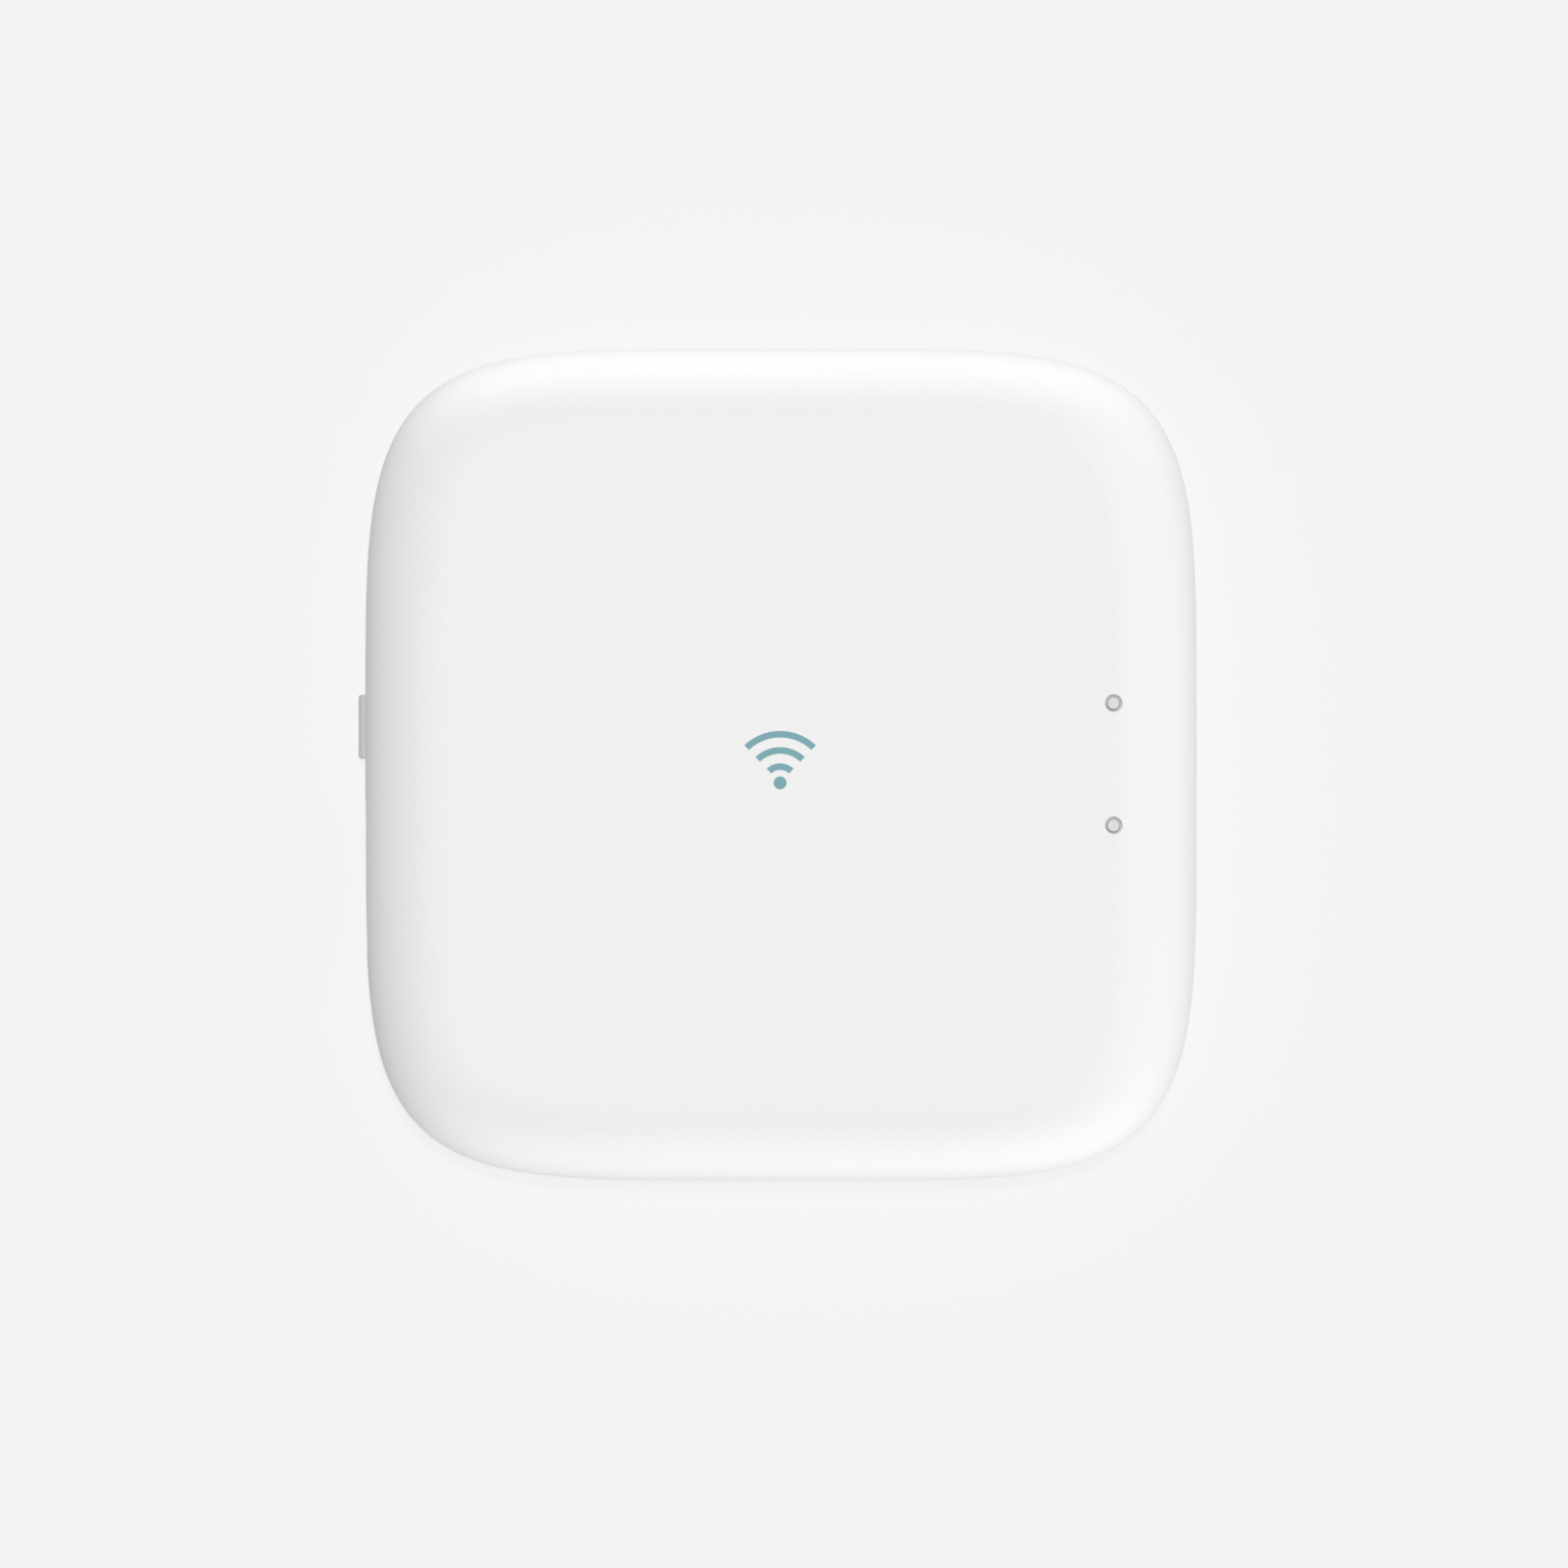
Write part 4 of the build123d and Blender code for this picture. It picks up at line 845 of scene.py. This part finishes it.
# Acetal is slippery and faintly translucent, with a low even gloss.
acetal, _, acetal_shader = grained("Moulded acetal", "#2B2B2D", "#333335", 0.3, 0.42, 0.004)
acetal_shader.inputs["IOR"].default_value = 1.48
coat_nodes(acetal, "switch_plunger")

# ========================================
# Function key. A separate ABS moulding with a domed nose, painted a shade greyer than the shells as
# painted shade for its dim side. Its flange stops it from falling out, and a post behind it presses the
# switch.
# ========================================
# The key's white is greyed here as painted shade for the dim side of the case it sits on.
key_abs_greyed_for_shade, _, key_shader = grained(
    "Off-white ABS greyed as painted shade, fine-stoned mould", "#D6D7D8", "#D0D1D2", 0.2, 0.62, 0.003
)
key_shader.inputs["IOR"].default_value = 1.53
coat_nodes(key_abs_greyed_for_shade, "function_key")

# ========================================
# Indicators. Two diodes on the board, each under its own light pipe of milky acrylic, which is a
# push fit in a sleeve of the cover. Its narrow tip ends just below the face, in a wider window.
# ========================================
# Painted shade: the sides and shoulder are a matt pale grey that stands for the dark gap round the tip.
acrylic, pipe_nodes, pipe_shader = grained(
    "Milky acrylic with painted gap shade", "#DDDEDE", "#D7D8D8", 0.25, 0.7, 0.002
)
pipe_shader.inputs["IOR"].default_value = 1.49
tip_face_radius, tip_face_depth = 0.64, 0.4
pipe_low, pipe_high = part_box("light_pipe_power")
pipe_axis = (pipe_low + pipe_high) / 2
pipe_place = add_node(pipe_nodes, "ShaderNodeTexCoord").outputs["Object"]
# The two pipes mirror each other in Y, so folding the place in half puts both on one axis.
pipe_folded = add_node(pipe_nodes, "ShaderNodeVectorMath", {0: pipe_place}, operation="ABSOLUTE")
about_pipe = add_node(
    pipe_nodes,
    "ShaderNodeVectorMath",
    {0: pipe_folded, 1: (pipe_axis.x, abs(pipe_axis.y), 0.0)},
    operation="SUBTRACT",
)
pipe_x, pipe_y, pipe_z = add_node(pipe_nodes, "ShaderNodeSeparateXYZ", {0: about_pipe}).outputs
pipe_flat = add_node(pipe_nodes, "ShaderNodeCombineXYZ", {0: pipe_x, 1: pipe_y})
from_axis = add_node(
    pipe_nodes, "ShaderNodeVectorMath", {0: pipe_flat}, operation="LENGTH"
).outputs["Value"]
off_tip = add_node(
    pipe_nodes, "ShaderNodeMath", {0: from_axis, 1: tip_face_radius * MM}, operation="GREATER_THAN"
)
z_tip_face = pipe_high.z - tip_face_depth * MM
below_tip = add_node(pipe_nodes, "ShaderNodeMath", {0: pipe_z, 1: z_tip_face}, operation="LESS_THAN")
painted_gap_shade = add_node(pipe_nodes, "ShaderNodeMath", {0: off_tip, 1: below_tip}, operation="MAXIMUM")
# The grey laid over the sides and shoulder is painted shade for the gap ring, not a real lacquer.
overlay(pipe_nodes, pipe_shader, painted_gap_shade, "#BDBFC1")
coat_nodes(acrylic, "light_pipe_network", "light_pipe_power")
# The diode's lens is clear silicone with yellow phosphor in it, on a white ceramic body.
diode_low, diode_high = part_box("led_network")
diode_silicone, diode_nodes, diode_shader = grained(
    "Phosphor silicone on ceramic", "#E8D98C", "#DECB74", 0.15, 0.35, 0.004
)
diode_place = add_node(diode_nodes, "ShaderNodeTexCoord").outputs["Object"]
diode_z = add_node(diode_nodes, "ShaderNodeSeparateXYZ", {0: diode_place}).outputs["Z"]
diode_waist = (diode_low.z + diode_high.z) / 2
on_body = add_node(diode_nodes, "ShaderNodeMath", {0: diode_z, 1: diode_waist}, operation="LESS_THAN")
overlay(diode_nodes, diode_shader, on_body, "#E9E8E2")
coat_nodes(diode_silicone, "led_network", "led_power")

# ========================================
# Top cover. The same white ABS: one wide flat face whose rim rolls over into the sides, with four
# bosses that take the screws, ribs that tie the bosses to the wall, and two sleeves inside for the
# light pipes. A small wireless sign, a dot under three arcs, is printed in muted teal ink.
# ========================================
top_round = 9.0
ceiling = 2.0
z_top = cover_high.z
z_ceiling = z_top - ceiling
lip_room = inner_half + lip_thickness + lip_clearance
edge_break = 0.12
boss_radius, boss_drop = 3.2, 1.0
sleeve_radius, sleeve_depth = 2.2, 8.0
bore_radius, bore_blind = 1.3, 0.5
window_radius = 0.95
case_pilot_radius, case_pilot_depth = 1.1, 10.8
cover_profile = quarter(top_round, z_top - top_round, top_round, 90, 180, half, 24)
cover_profile += quarter(edge_break, z_seam + edge_break, edge_break, 180, 270, half, 3)
cover_profile += [
    (0, z_seam, lip_room),
    (0, z_seam + lip_height + lip_clearance, lip_room),
    (0, z_seam + lip_height + lip_clearance, inner_half),
]
inner_top = top_round - ceiling
cover_profile += quarter(inner_top, z_ceiling - inner_top, inner_top, 180, 90, inner_half)
cover = swept("cover", cover_profile)

pipe_boxes = [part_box("light_pipe_network"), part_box("light_pipe_power")]
indicators = [((low + high) / 2 / MM).to_2d() for low, high in pipe_boxes]
z_sleeve = z_ceiling - sleeve_depth
rib, rib_gap = 0.6, 1.7
reach = inner_half + wall / 2
boss_outlines = [disc_outline(x, y, boss_radius) for x, y in posts]
bosses = prisms("bosses", boss_outlines, z_seam - boss_drop, z_top - 1)
rib_outlines = []
for x, y in posts:
    side_x, side_y = math.copysign(1, x), math.copysign(1, y)
    rib_outlines.append(
        [
            (x - side_x * rib, y - side_y * rib),
            (side_x * reach, y - side_y * rib),
            (side_x * reach, y + side_y * rib),
            (x + side_x * rib, y + side_y * rib),
            (x + side_x * rib, side_y * reach),
            (x - side_x * rib, side_y * reach),
        ]
    )
combine(bosses, prisms("ribs", rib_outlines, z_seam + lip_height + rib_gap, z_top), "UNION")
sleeve_outlines = [disc_outline(x, y, sleeve_radius) for x, y in indicators]
combine(bosses, prisms("sleeves", sleeve_outlines, z_sleeve, z_top), "UNION")
core_profile = [(0, z_case, half - wall / 2)]
core_round = top_round - ceiling / 2
core_profile += quarter(core_round, z_top - top_round, core_round, 180, 90, half - wall / 2)
combine(bosses, swept("core", core_profile), "INTERSECT")
combine(cover, bosses, "UNION")
z_pilot_top = z_floor + case_seat_depth + case_pilot_depth
pilot_outlines = [disc_outline(x, y, case_pilot_radius) for x, y in posts]
combine(cover, prisms("pilots", pilot_outlines, z_case, z_pilot_top), "DIFFERENCE")
bore_outlines = [disc_outline(x, y, bore_radius) for x, y in indicators]
combine(cover, prisms("bores", bore_outlines, z_case, z_ceiling + bore_blind), "DIFFERENCE")
window_outlines = [disc_outline(x, y, window_radius) for x, y in indicators]
combine(cover, prisms("windows", window_outlines, z_case, z_top + 1), "DIFFERENCE")
combine(cover, prisms("side_openings", side_openings, *side_bars), "DIFFERENCE")

cover_abs, cover_nodes, cover_shader = grained(
    "White ABS with a pad-printed sign", "#EEEEEE", "#ECECEC", 0.3, 0.66, 0.006
)
cover_shader.inputs["IOR"].default_value = 1.53
cover_shader.inputs["Specular IOR Level"].default_value = 0.35
# The ink is a flat film, so it takes the plastic's grain. The arcs are a pitch apart round the dot.
sign_dot = (-0.1 * MM, -2.0 * MM, 0.0)
arc_pitch, arc_half_width = 1.75, 0.36
dot_radius = 0.7
fan_slope = 1.05
print_depth = 0.05
sign_place = add_node(cover_nodes, "ShaderNodeTexCoord").outputs["Object"]
from_dot = add_node(
    cover_nodes, "ShaderNodeVectorMath", {0: sign_place, 1: sign_dot}, operation="SUBTRACT"
)
in_mm = add_node(cover_nodes, "ShaderNodeVectorMath", {0: from_dot, "Scale": 1 / MM}, operation="SCALE")
sign_x, sign_y, sign_z = add_node(cover_nodes, "ShaderNodeSeparateXYZ", {0: in_mm}).outputs
on_plane = add_node(cover_nodes, "ShaderNodeCombineXYZ", {0: sign_x, 1: sign_y})
away = add_node(cover_nodes, "ShaderNodeVectorMath", {0: on_plane}, operation="LENGTH").outputs["Value"]
off_arc = add_node(cover_nodes, "ShaderNodeMath", {0: away, 1: arc_pitch / 2}, operation="PINGPONG")
arcs = add_node(cover_nodes, "ShaderNodeMath", {0: off_arc, 1: arc_half_width}, operation="LESS_THAN")
outer_end = add_node(cover_nodes, "ShaderNodeMath", {0: away, 1: 3.5 * arc_pitch}, operation="LESS_THAN")
inner_end = add_node(cover_nodes, "ShaderNodeMath", {0: away, 1: arc_pitch / 2}, operation="GREATER_THAN")
across = add_node(cover_nodes, "ShaderNodeMath", {0: sign_x}, operation="ABSOLUTE")
steep = add_node(cover_nodes, "ShaderNodeMath", {0: across, 1: fan_slope}, operation="MULTIPLY")
in_fan = add_node(cover_nodes, "ShaderNodeMath", {0: sign_y, 1: steep}, operation="GREATER_THAN")
for limit in (outer_end, inner_end, in_fan):
    arcs = add_node(cover_nodes, "ShaderNodeMath", {0: arcs, 1: limit}, operation="MULTIPLY")
dot = add_node(cover_nodes, "ShaderNodeMath", {0: away, 1: dot_radius}, operation="LESS_THAN")
marks = add_node(cover_nodes, "ShaderNodeMath", {0: arcs, 1: dot}, operation="MAXIMUM")
on_face = add_node(
    cover_nodes, "ShaderNodeMath", {0: sign_z, 1: z_top - print_depth}, operation="GREATER_THAN"
)
ink = add_node(cover_nodes, "ShaderNodeMath", {0: marks, 1: on_face}, operation="MULTIPLY")
overlay(cover_nodes, cover_shader, ink, "#74A4AC")
shaded(cover, cover_abs)
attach(cover, "housing")
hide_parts("top_cover")

# ========================================
# Case screws, rubber feet and label. Four screws go up through the floor into the cover's bosses,
# and then the glued feet hide them. The label is a plain film with one thin printed border.
# ========================================
turned_steel("Zinc-plated steel, case screws", "case_screws", case_screw_head)
# Moulded rubber is dull and slightly dusty, with a fine open grain that grips the table.
rubber = grained("Moulded grey rubber", "#4B4C4E", "#5A5B5D", 0.25, 0.82, 0.03)[0]
coat_nodes(rubber, *feet)
# Matt polyester film prints like paper but has a faint even sheen.
label_film, film_nodes, film_shader = grained(
    "Matt polyester film", "#E2E2E0", "#DAD9D7", 0.2, 0.5, 0.004
)
border_inset, border_half_width = 1.1, 0.12
film_place = add_node(film_nodes, "ShaderNodeTexCoord").outputs["Object"]
film_folded = add_node(film_nodes, "ShaderNodeVectorMath", {0: film_place}, operation="ABSOLUTE")
film_reach = add_node(
    film_nodes,
    "ShaderNodeVectorMath",
    {0: label_high * MM, 1: film_folded},
    operation="SUBTRACT",
)
to_side, to_end, _ = add_node(film_nodes, "ShaderNodeSeparateXYZ", {0: film_reach}).outputs
to_edge = add_node(film_nodes, "ShaderNodeMath", {0: to_side, 1: to_end}, operation="MINIMUM")
on_line = add_node(
    film_nodes,
    "ShaderNodeMath",
    {0: to_edge, 1: border_inset * MM, 2: border_half_width * MM},
    operation="COMPARE",
)
overlay(film_nodes, film_shader, on_line, "#8D8F91")
coat_nodes(label_film, "blank_label")

# ========================================
# Stage. A plain pale floor under a broad overhead light, with low soft lights on three sides.
# ========================================
floor = new_object(
    "floor", [(-3000, -3000, 0), (3000, -3000, 0), (3000, 3000, 0), (-3000, 3000, 0)], (), [(0, 1, 2, 3)]
)
floor_paint, floor_tree, floor_shader = start_material("Matt painted board")
wire(floor_tree, floor_shader, {"Base Color": (0.15, 0.15, 0.15, 1.0), "Roughness": 1.0})
floor_shader.inputs["Specular IOR Level"].default_value = 0.0
floor_shader.inputs["Emission Color"].default_value = (1.0, 1.0, 1.0, 1.0)
floor_shader.inputs["Emission Strength"].default_value = 0.734
floor.data.materials.append(floor_paint)


def lamp(name, kind, place, direction, energy):
    """A light at a place in millimetres that shines from a direction."""
    data = bpy.data.lights.new(name, kind)
    data.energy = energy
    light = bpy.data.objects.new(name, data)
    light.location = Vector(place) * MM
    light.rotation_euler = Vector(direction).to_track_quat("Z", "Y").to_euler()
    bpy.context.scene.collection.objects.link(light)
    return light


def leaning(x, y):
    """The direction from overhead that leans towards X and Y by these angles in degrees."""
    return (math.tan(math.radians(x)), math.tan(math.radians(y)), 1.0)


for name, strength, direction, spread in (
    ("overhead", 2.04, leaning(1.0, 1.2), 1.5),
    ("overhead_soft", 0.95, leaning(1.0, 6.0), 4.0),
    ("right_side", 0.85, (1.0, 0.0, 0.052), 6.0),
    ("front_side", 0.25, (0.0, -1.0, 0.052), 6.0),
    ("rear_side", 0.1, (0.0, 1.0, 0.052), 6.0),
):
    far_light = lamp(name, "SUN", (0, 0, 900), direction, strength)
    far_light.data.angle = math.radians(spread)
for name, x, y, energy in (("rear_panel", -20, 118, 0.2), ("front_panel", 35, -118, 0.18)):
    panel = lamp(name, "AREA", (x, y, 0.5), (0, 0, -1), energy)
    panel.rotation_euler = (math.pi, 0, 0)
    panel.data.shape = "RECTANGLE"
    panel.data.size = 0.2
    panel.data.size_y = 0.052
    panel.visible_camera = False

world = bpy.data.worlds.new("Studio")
bpy.context.scene.world = world
world.use_nodes = True
surroundings = world.node_tree.nodes["Background"]
seen_by = add_node(world.node_tree, "ShaderNodeLightPath").outputs["Is Camera Ray"]
glow = add_node(world.node_tree, "ShaderNodeMapRange", {"Value": seen_by, 3: 0.04, 4: 0.9})
wire(world.node_tree, surroundings, {"Color": (1.0, 1.0, 1.0, 1.0), "Strength": glow})

camera_data = bpy.data.cameras.new("camera")
camera_data.sensor_width = 36.0
camera_data.lens = 36.0 * 3.0 / 0.1698
camera_data.clip_start = 0.05
camera_data.clip_end = 30.0
camera = bpy.data.objects.new("camera", camera_data)
camera.location = (0.32 * MM, -2.12 * MM, 3.014)
bpy.context.scene.collection.objects.link(camera)
bpy.context.scene.camera = camera
bpy.context.scene.view_settings.view_transform = "Standard"
